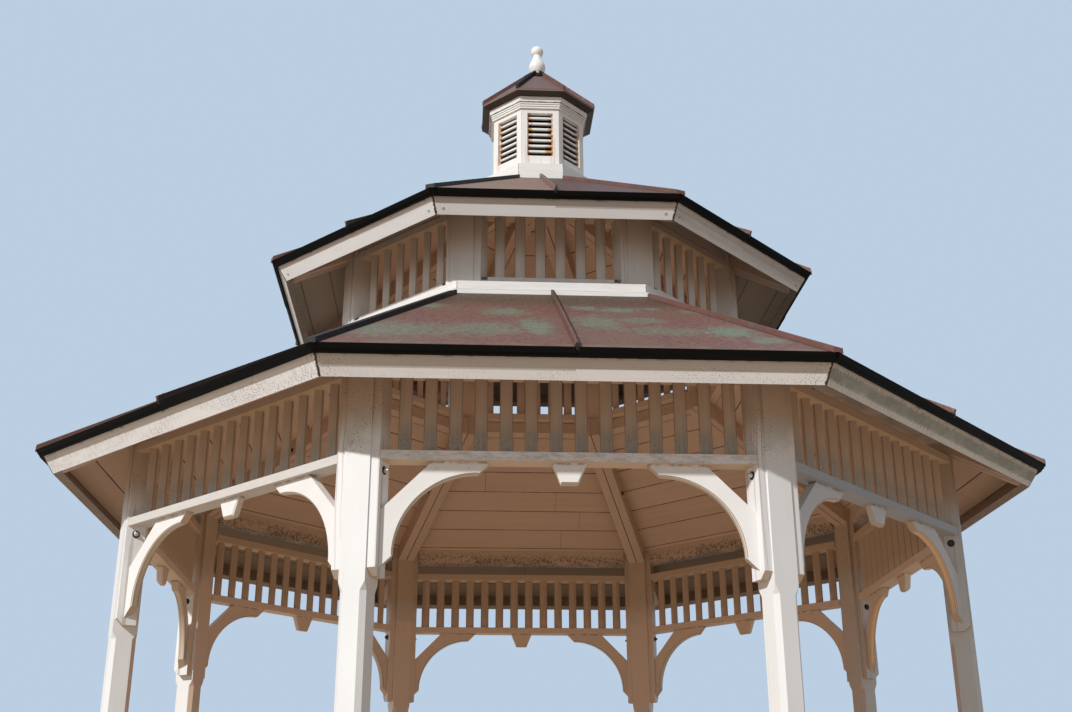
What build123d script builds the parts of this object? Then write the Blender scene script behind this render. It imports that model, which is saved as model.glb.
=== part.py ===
from build123d import *
from math import cos, radians, sin, sqrt, tan
import os

# Wooden octagonal gazebo with two roofs and a louvred cupola.
# Millimetres. +Z is up and the origin is the middle of the plan at ground level.
# The front bay looks along -Y. "Apothem" is the distance from the axis to the middle of a side.
# "Ridge" is the height at which the underside of a roof's deck would meet the axis.

# Plan
SIDES = 8
BAY_STEP = 360 / SIDES
HALF_BAY = BAY_STEP / 2
FRONT_ANGLE = -90

# Timber sizes
PLANK = 38                      # thickness of the sawn boards
BOARD = 89                      # width of the sawn boards
POST_SIZE = 114
BALUSTER = 38                   # square, set corner to the front
BALUSTER_END = 0.47             # share of a step that closes each frieze beside its strips
FIT = 0.3                       # clearance where one piece stands against another across a slope
JOINT = 1.0                     # open joint between mitred boards

# Lower tier
POST_FACE = 2231                # axis to the outer face of a lower post
RAIL_SETBACK = 144
RAIL_FACE = POST_FACE - RAIL_SETBACK
RAIL_UNDERSIDE = 2400
FRIEZE_CLEAR = 330              # baluster length between the two rails
HEADER_GAP = 72                 # open slot between the top rail and the header
HEADER_THICK = 76
HEADER_HEIGHT = 105.4           # at the header's inner face
LOWER_BALUSTERS = 14
CHAMFER_LEG = 20
CHAMFER_RUN = 38                # length of the sloping stop at each end of a chamfer
CHAMFER_BOTTOM = 300
CHAMFER_STOP = 20               # plain post between the chamfers and the side strips
STRIP_SETBACK = 8
STRIP_DROP = 466                # how far the side strips run below the rail
STRIP_BEVEL = 30

# Knee brackets and centre pendants
BRACKET_RADIUS = 331
BRACKET_BAND = 51               # board left beyond the quarter circle at both ends
BRACKET_THROAT = 69             # board left between the quarter circle and the open triangle
BRACKET_EDGE = 5
PENDANT_TOP = 143
PENDANT_BOTTOM = 70
PENDANT_DROP = 89
PENDANT_SIDE_EDGE = 6
PENDANT_FOOT_EDGE = 10

# Roofs: deck boards on hip rafters, copper sheet on top
ROOF_PITCH = 31.7
DECK = 38
COPPER = 5
DRIP = 5                        # thickness of the dark edge strip
LOWER_OVERHANG = 10             # deck beyond the fascia, measured down the slope
UPPER_OVERHANG = 5.5
HIP_WIDTH = 113
HIP_DEPTH = 89
HIP_GROOVE = 5
SEAM_WIDTH = 14
SEAM_HEIGHT = 25
SEAM_GAP = 4
CAP_WIDTH = 46
CAP_HEIGHT = 16
LOWER_CAP_GAP = 18              # from the sill's lip to the hip caps
UPPER_CAP_GAP = 34              # from the cupola's skirt to the hip caps
LOWER_EAVE = 344.6              # fascia beyond the rails
UPPER_EAVE = 352.4
LOWER_FASCIA_DEPTH = 93.5
UPPER_FASCIA_DEPTH = 89

# Lantern on the lower roof
UPPER_POST_FACE = 1175
UPPER_RAIL_SETBACK = 72
UPPER_RAIL_FACE = UPPER_POST_FACE - UPPER_RAIL_SETBACK
UPPER_BALUSTERS = 6
UPPER_FRIEZE_CLEAR = 358
UPPER_HEADER_GAP = 16
UPPER_HEADER_HEIGHT = 124.9     # at the header's inner face
SILL_REVEAL = 9                 # sill's back beyond the rails
SILL_LIP_OUT = 28
SILL_LIP_HEIGHT = 24
SILL_HEIGHT = 64.3              # above the copper at the sill's front
RAIL_OVER_SILL = 6
SILL_BACK = UPPER_RAIL_FACE + SILL_REVEAL
SILL_FRONT = SILL_BACK + PLANK
SILL_LIP = SILL_FRONT + SILL_LIP_OUT

# Cupola
BODY_FACE = 275
BODY_BOARD = 25
SKIRT_BOARD = 45
SKIRT_FACE = BODY_FACE + SKIRT_BOARD
SKIRT_HEIGHT = 98               # above the copper at the skirt's face
LOUVRE_SILL = 78                # wall below and above the louvre opening
LOUVRE_HEAD = 27.5
LOUVRE_WIDTH = 154
LOUVRE_HEIGHT = 296.5
LOUVRE_FRAME = 7
LOUVRE_SETBACK = 14
LOUVRE_DEPTH = 42
SLATS = 7
SLAT_STEP = 38.5
SLAT_DEPTH = 46
SLAT_THICK = 19
SLAT_TILT = 35
SLAT_SETBACK = 5
MOULDINGS = 3
MOULDING_FOOT_OUT = 11
MOULDING_OUT = 4
MOULDING_UP = 12.7
BAND_OUT = 6                    # plain band beyond the top moulding
BAND_LEAN = 3
BAND_HEIGHT = 32
CUPOLA_EAVE_OUT = 43            # eave beyond the band
CUPOLA_EAVE_RISE = 17
CUPOLA_EDGE = 15                # height of the cupola roof's square edge
CUPOLA_PITCH = 45
CUPOLA_DECK = 22
CUPOLA_HOLE = 28                # apothem left open under the cap
CUPOLA_SEAT = 38                # apothem of the flat top under the cap
CAP_SHEET = 5
CAP_RIM = 79                    # apothem of the black cap's edge
ROLL_WIDTH = 18
ROLL_HEIGHT = 19
UPPER_HOLE = 230                # apothem of the opening in the upper deck
HUB_FACE = 145                  # axis to the face of the hub where a rafter butts
HUB_HEIGHT = 140

# Finial, heights above the cap
FINIAL_FOOT = 38
FINIAL_RING = 9
FINIAL_STEP = 5                 # pear set in from its ring
FINIAL_LOW = 46
FINIAL_LOW_UP = 23              # heights on the pear are above its ring
FINIAL_PEAR = 53
FINIAL_PEAR_UP = 55
FINIAL_HIGH = 38
FINIAL_HIGH_UP = 100
FINIAL_NECK = 26
FINIAL_BALL = 40
FINIAL_HEIGHT = 221

HALF = radians(HALF_BAY)
SLOPE = tan(radians(ROOF_PITCH))
SLOPE_COS = cos(radians(ROOF_PITCH))
SLOPE_SIN = sin(radians(ROOF_PITCH))
SIDE_OFFSET = POST_SIZE / 2 + PLANK
ROOF_SURFACE = DECK + COPPER

BAYS = ("front", "front_right", "right", "back_right", "back", "back_left", "left", "front_left")
POSTS = ("front_right", "right_front", "right_back", "back_right",
         "back_left", "left_back", "left_front", "front_left")
BAY_ANGLES = [FRONT_ANGLE + BAY_STEP * i for i in range(SIDES)]
POST_ANGLES = [angle + HALF_BAY for angle in BAY_ANGLES]

# The lower roof rests on the lower headers
lower_header_top = RAIL_UNDERSIDE + 2 * PLANK + FRIEZE_CLEAR + HEADER_GAP + HEADER_HEIGHT
LOWER_RIDGE = lower_header_top + (RAIL_FACE - BOARD) * SLOPE
LOWER_FASCIA = RAIL_FACE + LOWER_EAVE

# The lantern's sill rests on the lower roof and the upper roof on the lantern's headers
SILL_TOP = LOWER_RIDGE - SILL_FRONT * SLOPE + ROOF_SURFACE / SLOPE_COS + SILL_HEIGHT
UPPER_RAIL_UNDERSIDE = SILL_TOP + RAIL_OVER_SILL
upper_frieze_top = UPPER_RAIL_UNDERSIDE + 2 * PLANK + UPPER_FRIEZE_CLEAR
upper_header_top = upper_frieze_top + UPPER_HEADER_GAP + UPPER_HEADER_HEIGHT
UPPER_RIDGE = upper_header_top + (UPPER_RAIL_FACE - BOARD) * SLOPE
UPPER_FASCIA = UPPER_RAIL_FACE + UPPER_EAVE

# The cupola stands on the upper roof
SKIRT_TOP = UPPER_RIDGE - SKIRT_FACE * SLOPE + ROOF_SURFACE / SLOPE_COS + SKIRT_HEIGHT
LOUVRE_MIDDLE = SKIRT_TOP + LOUVRE_SILL + LOUVRE_HEIGHT / 2
BODY_TOP = SKIRT_TOP + LOUVRE_SILL + LOUVRE_HEIGHT + LOUVRE_HEAD

os.makedirs("parts", exist_ok=True)


def outward(angle):
    """Unit vector from the axis toward this angle in plan."""
    return Vector(cos(radians(angle)), sin(radians(angle)), 0)


def level(angle, height):
    """Level plane with x outward along the angle and y along the side."""
    return Plane(origin=(0, 0, height), x_dir=outward(angle), z_dir=(0, 0, 1))


def upright(angle):
    """Vertical plane through the axis with x outward and y up."""
    return Plane(origin=(0, 0, 0), x_dir=outward(angle), z_dir=outward(angle - 90))


def elevation(angle, apothem):
    """Vertical plane facing outward with x along the side and y up."""
    return Plane(origin=outward(angle) * apothem, x_dir=outward(angle + 90), z_dir=outward(angle))


def slope_plane(angle, ridge, slope):
    """Plane falling outward from this height on the axis."""
    return Plane(origin=(0, 0, ridge), z_dir=outward(angle) * slope + Vector(0, 0, 1))


def half_length(apothem, offset):
    """Half the length of a board between two radial faces that stand off the hip lines."""
    return apothem * tan(HALF) - offset / cos(HALF)


def roof_height(ridge, apothem, above=0):
    """Height of a level in the roof that lies square above the soffit by this much."""
    return ridge - apothem * SLOPE + above / SLOPE_COS


def up_slope(fascia, ridge, along, above):
    """Point measured up the slope from the fascia's top edge and square above the soffit."""
    return (fascia - along * SLOPE_COS + above * SLOPE_SIN,
            roof_height(ridge, fascia) + along * SLOPE_SIN + above * SLOPE_COS)


def save(builder, name):
    builder.part.label = name
    export_step(builder.part, f"parts/{name}.step")


def mitred_length(outline, gap):
    """One side of an octagonal ring, drawn as an outline of (apothem, height) and cut at both mitres."""
    reach = max(x for x, _ in outline) * tan(HALF) + gap
    with BuildPart() as length:
        with BuildSketch(Plane.XZ):
            with BuildLine():
                Polyline(*outline, close=True)
            make_face()
        extrude(amount=reach, both=True)
        for side in (1, -1):
            mitre = outward(side * (HALF_BAY + 90))
            split(bisect_by=Plane(origin=mitre * (-gap / 2), z_dir=mitre), keep=Keep.BOTTOM)
    return length


def ring(length):
    """The eight sides of a ring."""
    with BuildPart() as sides:
        with PolarLocations(0, SIDES, start_angle=FRONT_ANGLE):
            add(length.part)
    return sides


def cut_between_posts(angle, offset):
    """Cut the ends of the piece being built to the radial faces that stand off both hip lines."""
    for side in (1, -1):
        radial = outward(angle + side * (HALF_BAY + 90))
        split(bisect_by=Plane(origin=radial * -offset, z_dir=radial), keep=Keep.BOTTOM)


def trim_to_slopes(angle, ridge, slope):
    """Cut the piece being built under the two slopes that meet above a corner."""
    for side in (1, -1):
        split(bisect_by=slope_plane(angle + side * HALF_BAY, ridge, slope), keep=Keep.BOTTOM)


def between_posts(angle, outline, offset):
    """Level board drawn as an outline of (apothem, height) with its ends on two posts."""
    reach = max(x for x, _ in outline) * tan(HALF)
    with BuildPart() as board:
        with BuildSketch(upright(angle)):
            with BuildLine():
                Polyline(*outline, close=True)
            make_face()
        extrude(amount=reach, both=True)
        cut_between_posts(angle, offset)
    return board


def frieze(angle, face, underside, clear, balusters):
    """Bottom rail, top rail and the square balusters set corner to the front, joined as one panel."""
    centre = face - BOARD / 2
    step = 2 * half_length(centre, SIDE_OFFSET) / (balusters + BALUSTER_END)
    with BuildPart() as panel:
        for bottom in (underside, underside + PLANK + clear):
            with BuildSketch(level(angle, bottom)):
                with Locations((centre, 0)):
                    Rectangle(BOARD, 2 * face * tan(HALF))
            extrude(amount=PLANK)
        with BuildSketch(level(angle, underside + PLANK)):
            with Locations((centre, 0)):
                with GridLocations(0, step, 1, balusters):
                    Rectangle(BALUSTER, BALUSTER, rotation=45)
        extrude(amount=clear)
        cut_between_posts(angle, SIDE_OFFSET)
    return panel


def header_outline(face, bottom, ridge):
    """Beam above the top rail, its top bevelled to the deck."""
    inner = face - BOARD
    outer = inner + HEADER_THICK
    return [(inner, bottom), (outer, bottom),
            (outer, roof_height(ridge, outer)), (inner, roof_height(ridge, inner))]


def hip_line():
    """Fall of a hip for each unit outward, and the vertical depth of its rafter."""
    rise = SLOPE * cos(HALF)
    return rise, HIP_DEPTH * sqrt(1 + rise * rise) + HIP_WIDTH / 2 * sin(HALF) * SLOPE


def corner_post(angle, face, bottom, ridge, chamfers):
    """Square post turned to face outward, its top cut to the underside of the hip rafter."""
    rise, depth = hip_line()
    with BuildPart() as post:
        with BuildSketch(level(angle, bottom)):
            with Locations((face - POST_SIZE / 2, 0)):
                Rectangle(POST_SIZE, POST_SIZE)
        extrude(amount=ridge - bottom)
        seat = Plane(origin=(0, 0, ridge - depth), z_dir=outward(angle) * rise + Vector(0, 0, 1))
        split(bisect_by=seat, keep=Keep.BOTTOM)
        if chamfers:
            low, high = chamfers
            leg = CHAMFER_LEG / sqrt(2)
            for turn in (45, 135, 225, 315):
                diagonal = outward(angle + turn)
                arris = outward(angle) * (face - POST_SIZE / 2) + diagonal * (POST_SIZE / sqrt(2))
                with BuildSketch(Plane(origin=arris, x_dir=diagonal, z_dir=outward(angle + turn - 90))):
                    with BuildLine():
                        Polyline((1, low), (-leg, low + CHAMFER_RUN), (-leg, high - CHAMFER_RUN), (1, high),
                                 close=True)
                    make_face()
                extrude(amount=POST_SIZE / 4, both=True, mode=Mode.SUBTRACT)
    return post


def side_strip(angle, side, face, bottom, bevel, ridge):
    """Board on one side of a post, its foot cut back at the front by the bevel."""
    if bevel:
        foot = [(face - bevel, bottom), (face, bottom + bevel)]
    else:
        foot = [(face, bottom)]
    with BuildPart() as strip:
        post_side = Plane(origin=outward(angle + 90) * (side * POST_SIZE / 2), x_dir=outward(angle),
                          z_dir=outward(angle - 90))
        with BuildSketch(post_side):
            with BuildLine():
                Polyline((face - BOARD, bottom), *foot, (face, ridge), (face - BOARD, ridge), close=True)
            make_face()
        extrude(amount=-side * PLANK)
        trim_to_slopes(angle, ridge, SLOPE)
    return strip


def post_strips(face, bottom, bevel, ridge):
    """The boards on both sides of all eight posts."""
    with BuildPart() as strips:
        for angle in POST_ANGLES:
            for side in (1, -1):
                add(side_strip(angle, side, face, bottom, bevel, ridge).part)
    return strips


def hip_rafter(angle, inner, fascia, ridge):
    """Two-ply hip timber under the meeting of two deck slopes, grooved along its underside."""
    rise, depth = hip_line()
    outer = fascia / cos(HALF)
    underside = ridge - depth
    with BuildPart() as hip:
        with BuildSketch(upright(angle)):
            with BuildLine():
                Polyline((outer, ridge - outer * rise), (inner, ridge - inner * rise),
                         (inner, underside - inner * rise), (outer, underside - outer * rise), close=True)
            make_face()
        extrude(amount=HIP_WIDTH / 2, both=True)
        with BuildSketch(upright(angle)):
            with BuildLine():
                Polyline((outer, underside - outer * rise - 1), (inner, underside - inner * rise - 1),
                         (inner, underside - inner * rise + HIP_GROOVE),
                         (outer, underside - outer * rise + HIP_GROOVE), close=True)
            make_face()
        extrude(amount=HIP_GROOVE / 2, both=True, mode=Mode.SUBTRACT)
        trim_to_slopes(angle, ridge, SLOPE)
        tail_x, tail_z = up_slope(fascia, ridge, PLANK + FIT, 0)
        for side in (1, -1):
            facing = outward(angle + side * HALF_BAY)
            split(bisect_by=Plane(origin=facing * tail_x + Vector(0, 0, tail_z),
                                  z_dir=facing * SLOPE_COS - Vector(0, 0, SLOPE_SIN)), keep=Keep.BOTTOM)
    return hip


def fascia_outline(fascia, ridge, depth):
    """Board square to the slope under the deck's edge."""
    corners = ((0, 0), (PLANK, 0), (PLANK, -depth), (0, -depth))
    return [up_slope(fascia, ridge, along, above) for along, above in corners]


def layer_outline(fascia, ridge, overhang, low, high, inner):
    """Sheet lying on the slope between two levels, with a square outer edge and a plumb inner edge."""
    return [up_slope(fascia, ridge, -overhang, low), up_slope(fascia, ridge, -overhang, high),
            (inner, roof_height(ridge, inner, high)), (inner, roof_height(ridge, inner, low))]


def drip_outline(fascia, ridge, overhang):
    """Dark strip over the edges of the deck and the copper."""
    outer = overhang + DRIP
    corners = ((-overhang, 0), (-overhang, ROOF_SURFACE), (-outer, ROOF_SURFACE), (-outer, 0))
    return [up_slope(fascia, ridge, along, above) for along, above in corners]


def copper_roof(fascia, ridge, overhang, inner, seam_end):
    """Eight copper slopes, each with one standing seam up its middle."""
    top = ROOF_SURFACE + SEAM_HEIGHT
    sheet = mitred_length(layer_outline(fascia, ridge, overhang, DECK, ROOF_SURFACE, inner), 2 * JOINT)
    with BuildPart() as slope:
        add(sheet.part)
        with BuildSketch(Plane.XZ):
            with BuildLine():
                Polyline(up_slope(fascia, ridge, -overhang, ROOF_SURFACE),
                         up_slope(fascia, ridge, -overhang, top),
                         (seam_end, roof_height(ridge, seam_end, top)),
                         (seam_end, roof_height(ridge, seam_end, ROOF_SURFACE)), close=True)
            make_face()
        extrude(amount=SEAM_WIDTH / 2, both=True)
    return ring(slope)


def hip_roll(angle, start, end, ridge, slope, width, height):
    """Raised roll over a hip between two distances from the axis, bedded on both slopes."""
    rise = slope * cos(HALF)
    thick = height * sqrt(1 + rise * rise)
    with BuildPart() as roll:
        with BuildSketch(upright(angle)):
            with BuildLine():
                Polyline((start, ridge - start * rise - thick), (start, ridge - start * rise + thick),
                         (end, ridge - end * rise + thick), (end, ridge - end * rise - thick), close=True)
            make_face()
        extrude(amount=width / 2, both=True)
        with BuildPart(mode=Mode.PRIVATE) as below:
            with BuildSketch(level(angle, ridge - 2 * start * rise)):
                Rectangle(4 * start, 2 * width)
            extrude(amount=2 * start * rise)
            trim_to_slopes(angle, ridge, slope)
        add(below.part, mode=Mode.SUBTRACT)
    return roll


def roof(prefix, fascia, ridge, overhang, depth, hip_inner, deck_inner, copper_inner, seam_end, cap_end):
    """Hip rafters, deck, fascia, edge strip, copper and hip caps of one roof."""
    with BuildPart() as hips:
        for angle in POST_ANGLES:
            add(hip_rafter(angle, hip_inner, fascia, ridge).part)
    save(hips, f"{prefix}_hip_rafters")
    deck = layer_outline(fascia, ridge, overhang, 0, DECK, deck_inner)
    save(ring(mitred_length(deck, JOINT)), f"{prefix}_roof_deck")
    save(ring(mitred_length(fascia_outline(fascia, ridge, depth), 2 * JOINT)), f"{prefix}_fascia")
    save(ring(mitred_length(drip_outline(fascia, ridge, overhang), JOINT)), f"{prefix}_drip_edge")
    save(copper_roof(fascia, ridge, overhang, copper_inner, seam_end), f"{prefix}_copper")
    cap_start = up_slope(fascia, ridge, -overhang - DRIP, ROOF_SURFACE)[0] / cos(HALF)
    cap_stop = cap_end / cos(HALF)
    sheet_ridge = ridge + ROOF_SURFACE / SLOPE_COS
    with BuildPart() as caps:
        for angle in POST_ANGLES:
            add(hip_roll(angle, cap_start, cap_stop, sheet_ridge, SLOPE, CAP_WIDTH, CAP_HEIGHT).part)
    save(caps, f"{prefix}_hip_caps")


# Lower posts, one node each
strip_face = POST_FACE - STRIP_SETBACK
strip_foot = RAIL_UNDERSIDE - STRIP_DROP
for name, angle in zip(POSTS, POST_ANGLES):
    chamfers = (CHAMFER_BOTTOM, strip_foot - CHAMFER_STOP)
    save(corner_post(angle, POST_FACE, 0, LOWER_RIDGE, chamfers), f"post_{name}")

# Boards on both sides of each post that carry the rails and brackets
save(post_strips(strip_face, strip_foot, STRIP_BEVEL, LOWER_RIDGE), "post_side_strips")

# Lower frieze panels, one node for each bay
for name, angle in zip(BAYS, BAY_ANGLES):
    save(frieze(angle, RAIL_FACE, RAIL_UNDERSIDE, FRIEZE_CLEAR, LOWER_BALUSTERS), f"frieze_{name}")

# Headers above the friezes
lower_header = header_outline(RAIL_FACE, lower_header_top - HEADER_HEIGHT, LOWER_RIDGE)
with BuildPart() as headers:
    for angle in BAY_ANGLES:
        add(between_posts(angle, lower_header, SIDE_OFFSET).part)
save(headers, "wall_headers")

# Knee brackets: a board with a quarter circle below and an open triangle in the corner
bracket_plane = RAIL_FACE - BOARD / 2
corner_x = half_length(bracket_plane + PLANK / 2, SIDE_OFFSET)
arc_in = BRACKET_RADIUS + BRACKET_BAND
arc_x = corner_x - arc_in
hole = 2 * arc_in - sqrt(2) * (BRACKET_RADIUS + BRACKET_THROAT)
past = corner_x + PLANK
foot_x = corner_x - BRACKET_BAND
with BuildPart() as bracket:
    with BuildSketch(elevation(0, bracket_plane)):
        with BuildLine():
            Line((corner_x - hole, 0), (arc_x - BRACKET_BAND, 0))
            Line((arc_x - BRACKET_BAND, 0), (arc_x, -BRACKET_BAND))
            CenterArc((arc_x, -arc_in), BRACKET_RADIUS, 0, 90)
            Line((foot_x, -arc_in), (past, -arc_in - BRACKET_BAND - PLANK))
            Line((past, -arc_in - BRACKET_BAND - PLANK), (past, -hole - PLANK))
            Line((past, -hole - PLANK), (corner_x - hole, 0))
        make_face()
    extrude(amount=PLANK / 2, both=True)
    chamfer(bracket.edges().filter_by(GeomType.CIRCLE), length=BRACKET_EDGE)
    strip_side = outward(HALF_BAY + 90)
    split(bisect_by=Plane(origin=strip_side * -SIDE_OFFSET, z_dir=strip_side), keep=Keep.BOTTOM)
with BuildPart() as brackets:
    raised = bracket.part.moved(Location((0, 0, RAIL_UNDERSIDE)))
    with PolarLocations(0, SIDES, start_angle=FRONT_ANGLE):
        add(raised)
        add(raised.mirror(Plane.XZ))
save(brackets, "knee_brackets")

# Keystone pendants under the middle of each rail
with BuildPart() as pendant:
    with BuildSketch(elevation(0, bracket_plane)):
        with BuildLine():
            Polyline((-PENDANT_TOP / 2, 0), (PENDANT_TOP / 2, 0), (PENDANT_BOTTOM / 2, -PENDANT_DROP),
                     (-PENDANT_BOTTOM / 2, -PENDANT_DROP), close=True)
        make_face()
    extrude(amount=PLANK / 2, both=True)
    chamfer(pendant.faces().sort_by(Axis.Z)[0].edges().filter_by(Axis.Y), length=PENDANT_FOOT_EDGE)
    sides = pendant.faces().sort_by(Axis.Y)
    side_edges = [edge for face in (sides[0], sides[-1]) for edge in face.edges()
                  if abs(edge.tangent_at(0.5).Z) > 0.8 and abs(edge.tangent_at(0.5).X) < 0.1]
    chamfer(side_edges, length=PENDANT_SIDE_EDGE)
with BuildPart() as pendants:
    with PolarLocations(0, SIDES, start_angle=FRONT_ANGLE):
        add(pendant.part.moved(Location((0, 0, RAIL_UNDERSIDE))))
save(pendants, "centre_pendants")

# Lower roof, open in the middle under the lantern
roof("lower", LOWER_FASCIA, LOWER_RIDGE, LOWER_OVERHANG, LOWER_FASCIA_DEPTH,
     UPPER_POST_FACE - POST_SIZE - PLANK / 2, SILL_BACK, SILL_BACK,
     SILL_LIP + SEAM_GAP, SILL_LIP + LOWER_CAP_GAP)

# Lantern: short posts standing on the hips, curb flush with the ceiling, sill, friezes and headers
with BuildPart() as lantern_posts:
    for angle in POST_ANGLES:
        with BuildPart(mode=Mode.PRIVATE) as short_post:
            add(corner_post(angle, UPPER_POST_FACE, RAIL_UNDERSIDE, UPPER_RIDGE, None).part)
            with BuildPart(mode=Mode.PRIVATE) as below:
                with BuildSketch(level(angle, RAIL_UNDERSIDE)):
                    Rectangle(3 * UPPER_POST_FACE, 2 * POST_SIZE)
                extrude(amount=LOWER_RIDGE - RAIL_UNDERSIDE)
                trim_to_slopes(angle, LOWER_RIDGE, SLOPE)
            add(below.part, mode=Mode.SUBTRACT)
        add(short_post.part)
save(lantern_posts, "lantern_posts")
save(post_strips(UPPER_POST_FACE - STRIP_SETBACK, SILL_TOP, 0, UPPER_RIDGE), "lantern_post_strips")

with BuildPart() as lantern_friezes:
    for angle in BAY_ANGLES:
        add(frieze(angle, UPPER_RAIL_FACE, UPPER_RAIL_UNDERSIDE, UPPER_FRIEZE_CLEAR, UPPER_BALUSTERS).part)
save(lantern_friezes, "lantern_friezes")

upper_header = header_outline(UPPER_RAIL_FACE, upper_header_top - UPPER_HEADER_HEIGHT, UPPER_RIDGE)
with BuildPart() as lantern_headers:
    for angle in BAY_ANGLES:
        add(between_posts(angle, upper_header, SIDE_OFFSET).part)
save(lantern_headers, "lantern_headers")

curb_inner = SILL_BACK - PLANK
curb = [(curb_inner, roof_height(LOWER_RIDGE, curb_inner)), (curb_inner, SILL_TOP),
        (SILL_BACK, SILL_TOP), (SILL_BACK, roof_height(LOWER_RIDGE, SILL_BACK))]
with BuildPart() as lantern_curb:
    for angle in BAY_ANGLES:
        add(between_posts(angle, curb, POST_SIZE / 2).part)
save(lantern_curb, "lantern_curb")

sill_lip_top = roof_height(LOWER_RIDGE, SILL_LIP, ROOF_SURFACE) + SILL_LIP_HEIGHT
sill = [(SILL_BACK, roof_height(LOWER_RIDGE, SILL_BACK, ROOF_SURFACE)),
        (SILL_LIP, roof_height(LOWER_RIDGE, SILL_LIP, ROOF_SURFACE)),
        (SILL_LIP, sill_lip_top), (SILL_FRONT, sill_lip_top), (SILL_FRONT, SILL_TOP), (SILL_BACK, SILL_TOP)]
save(ring(mitred_length(sill, JOINT)), "lantern_sill")

# Upper roof, and the hub block where its hip rafters meet
roof("upper", UPPER_FASCIA, UPPER_RIDGE, UPPER_OVERHANG, UPPER_FASCIA_DEPTH, HUB_FACE, UPPER_HOLE,
     BODY_FACE - PLANK, SKIRT_FACE + SEAM_GAP, SKIRT_FACE + UPPER_CAP_GAP)
hub_top = roof_height(UPPER_RIDGE, HUB_FACE / cos(HALF)) - FIT
with BuildPart() as hub:
    with BuildSketch(level(POST_ANGLES[0], hub_top)):
        RegularPolygon(HUB_FACE, SIDES, major_radius=False, rotation=HALF_BAY)
    extrude(amount=-HUB_HEIGHT)
save(hub, "rafter_hub")

# Cupola: skirt, louvred walls, mouldings and plain band
skirt = [(BODY_FACE, roof_height(UPPER_RIDGE, BODY_FACE, ROOF_SURFACE)),
         (SKIRT_FACE, roof_height(UPPER_RIDGE, SKIRT_FACE, ROOF_SURFACE)),
         (SKIRT_FACE, SKIRT_TOP), (BODY_FACE, SKIRT_TOP)]
save(ring(mitred_length(skirt, JOINT)), "cupola_skirt")

body_back = BODY_FACE - BODY_BOARD
wall = mitred_length([(body_back, roof_height(UPPER_RIDGE, body_back, ROOF_SURFACE)),
                      (BODY_FACE, roof_height(UPPER_RIDGE, BODY_FACE, ROOF_SURFACE)),
                      (BODY_FACE, BODY_TOP), (body_back, BODY_TOP)], JOINT)
with BuildPart() as cupola_wall:
    add(wall.part)
    with BuildSketch(elevation(0, BODY_FACE + 1)):
        with Locations((0, LOUVRE_MIDDLE)):
            Rectangle(LOUVRE_WIDTH, LOUVRE_HEIGHT)
    extrude(amount=-BODY_BOARD - 2, mode=Mode.SUBTRACT)
save(ring(cupola_wall), "cupola_walls")

# Louvres: a thin frame in the opening with round-nosed slats that fall outward
frame_front = BODY_FACE - LOUVRE_SETBACK
with BuildPart() as louvre:
    with BuildSketch(elevation(0, frame_front)):
        with Locations((0, LOUVRE_MIDDLE)):
            Rectangle(LOUVRE_WIDTH - 2 * FIT, LOUVRE_HEIGHT - 2 * FIT)
            Rectangle(LOUVRE_WIDTH - 2 * LOUVRE_FRAME, LOUVRE_HEIGHT - 2 * LOUVRE_FRAME, mode=Mode.SUBTRACT)
    extrude(amount=-LOUVRE_DEPTH)
    nose = (BODY_FACE - SLAT_SETBACK - SLAT_THICK / 2, LOUVRE_MIDDLE)
    with BuildSketch(Plane.XZ):
        with Locations(nose):
            with GridLocations(0, SLAT_STEP, 1, SLATS):
                Circle(SLAT_THICK / 2)
                Rectangle(SLAT_DEPTH, SLAT_THICK, rotation=-SLAT_TILT, align=(Align.MAX, Align.CENTER))
    extrude(amount=LOUVRE_WIDTH / 2 - LOUVRE_FRAME, both=True)
save(ring(louvre), "cupola_louvres")

cornice = [(body_back, BODY_TOP)]
for step in range(MOULDINGS):
    out = BODY_FACE + MOULDING_FOOT_OUT + MOULDING_OUT * step
    cornice += [(out, BODY_TOP + MOULDING_UP * step), (out, BODY_TOP + MOULDING_UP * (step + 1))]
band_foot = BODY_TOP + MOULDING_UP * MOULDINGS
band_top = band_foot + BAND_HEIGHT
band_face = out + BAND_OUT
cornice += [(band_face, band_foot), (band_face + BAND_LEAN, band_top), (body_back, band_top)]
save(ring(mitred_length(cornice, JOINT)), "cupola_cornice")

# Cupola roof, its cap with the eight hip rolls, and the turned finial
pitch = tan(radians(CUPOLA_PITCH))
cupola_eave = band_face + BAND_LEAN + CUPOLA_EAVE_OUT
eave_foot = band_top + CUPOLA_EAVE_RISE
cupola_ridge = eave_foot + CUPOLA_EDGE + cupola_eave * pitch
seat_z = cupola_ridge - CUPOLA_SEAT * pitch
deck_drop = CUPOLA_DECK / cos(radians(CUPOLA_PITCH))
cupola_roof = [(body_back, band_top), (band_face + BAND_LEAN, band_top), (cupola_eave, eave_foot),
               (cupola_eave, eave_foot + CUPOLA_EDGE), (CUPOLA_SEAT, seat_z), (CUPOLA_HOLE, seat_z),
               (CUPOLA_HOLE, cupola_ridge - CUPOLA_HOLE * pitch - deck_drop),
               (body_back, cupola_ridge - body_back * pitch - deck_drop)]
save(ring(mitred_length(cupola_roof, JOINT)), "cupola_roof")

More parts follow.
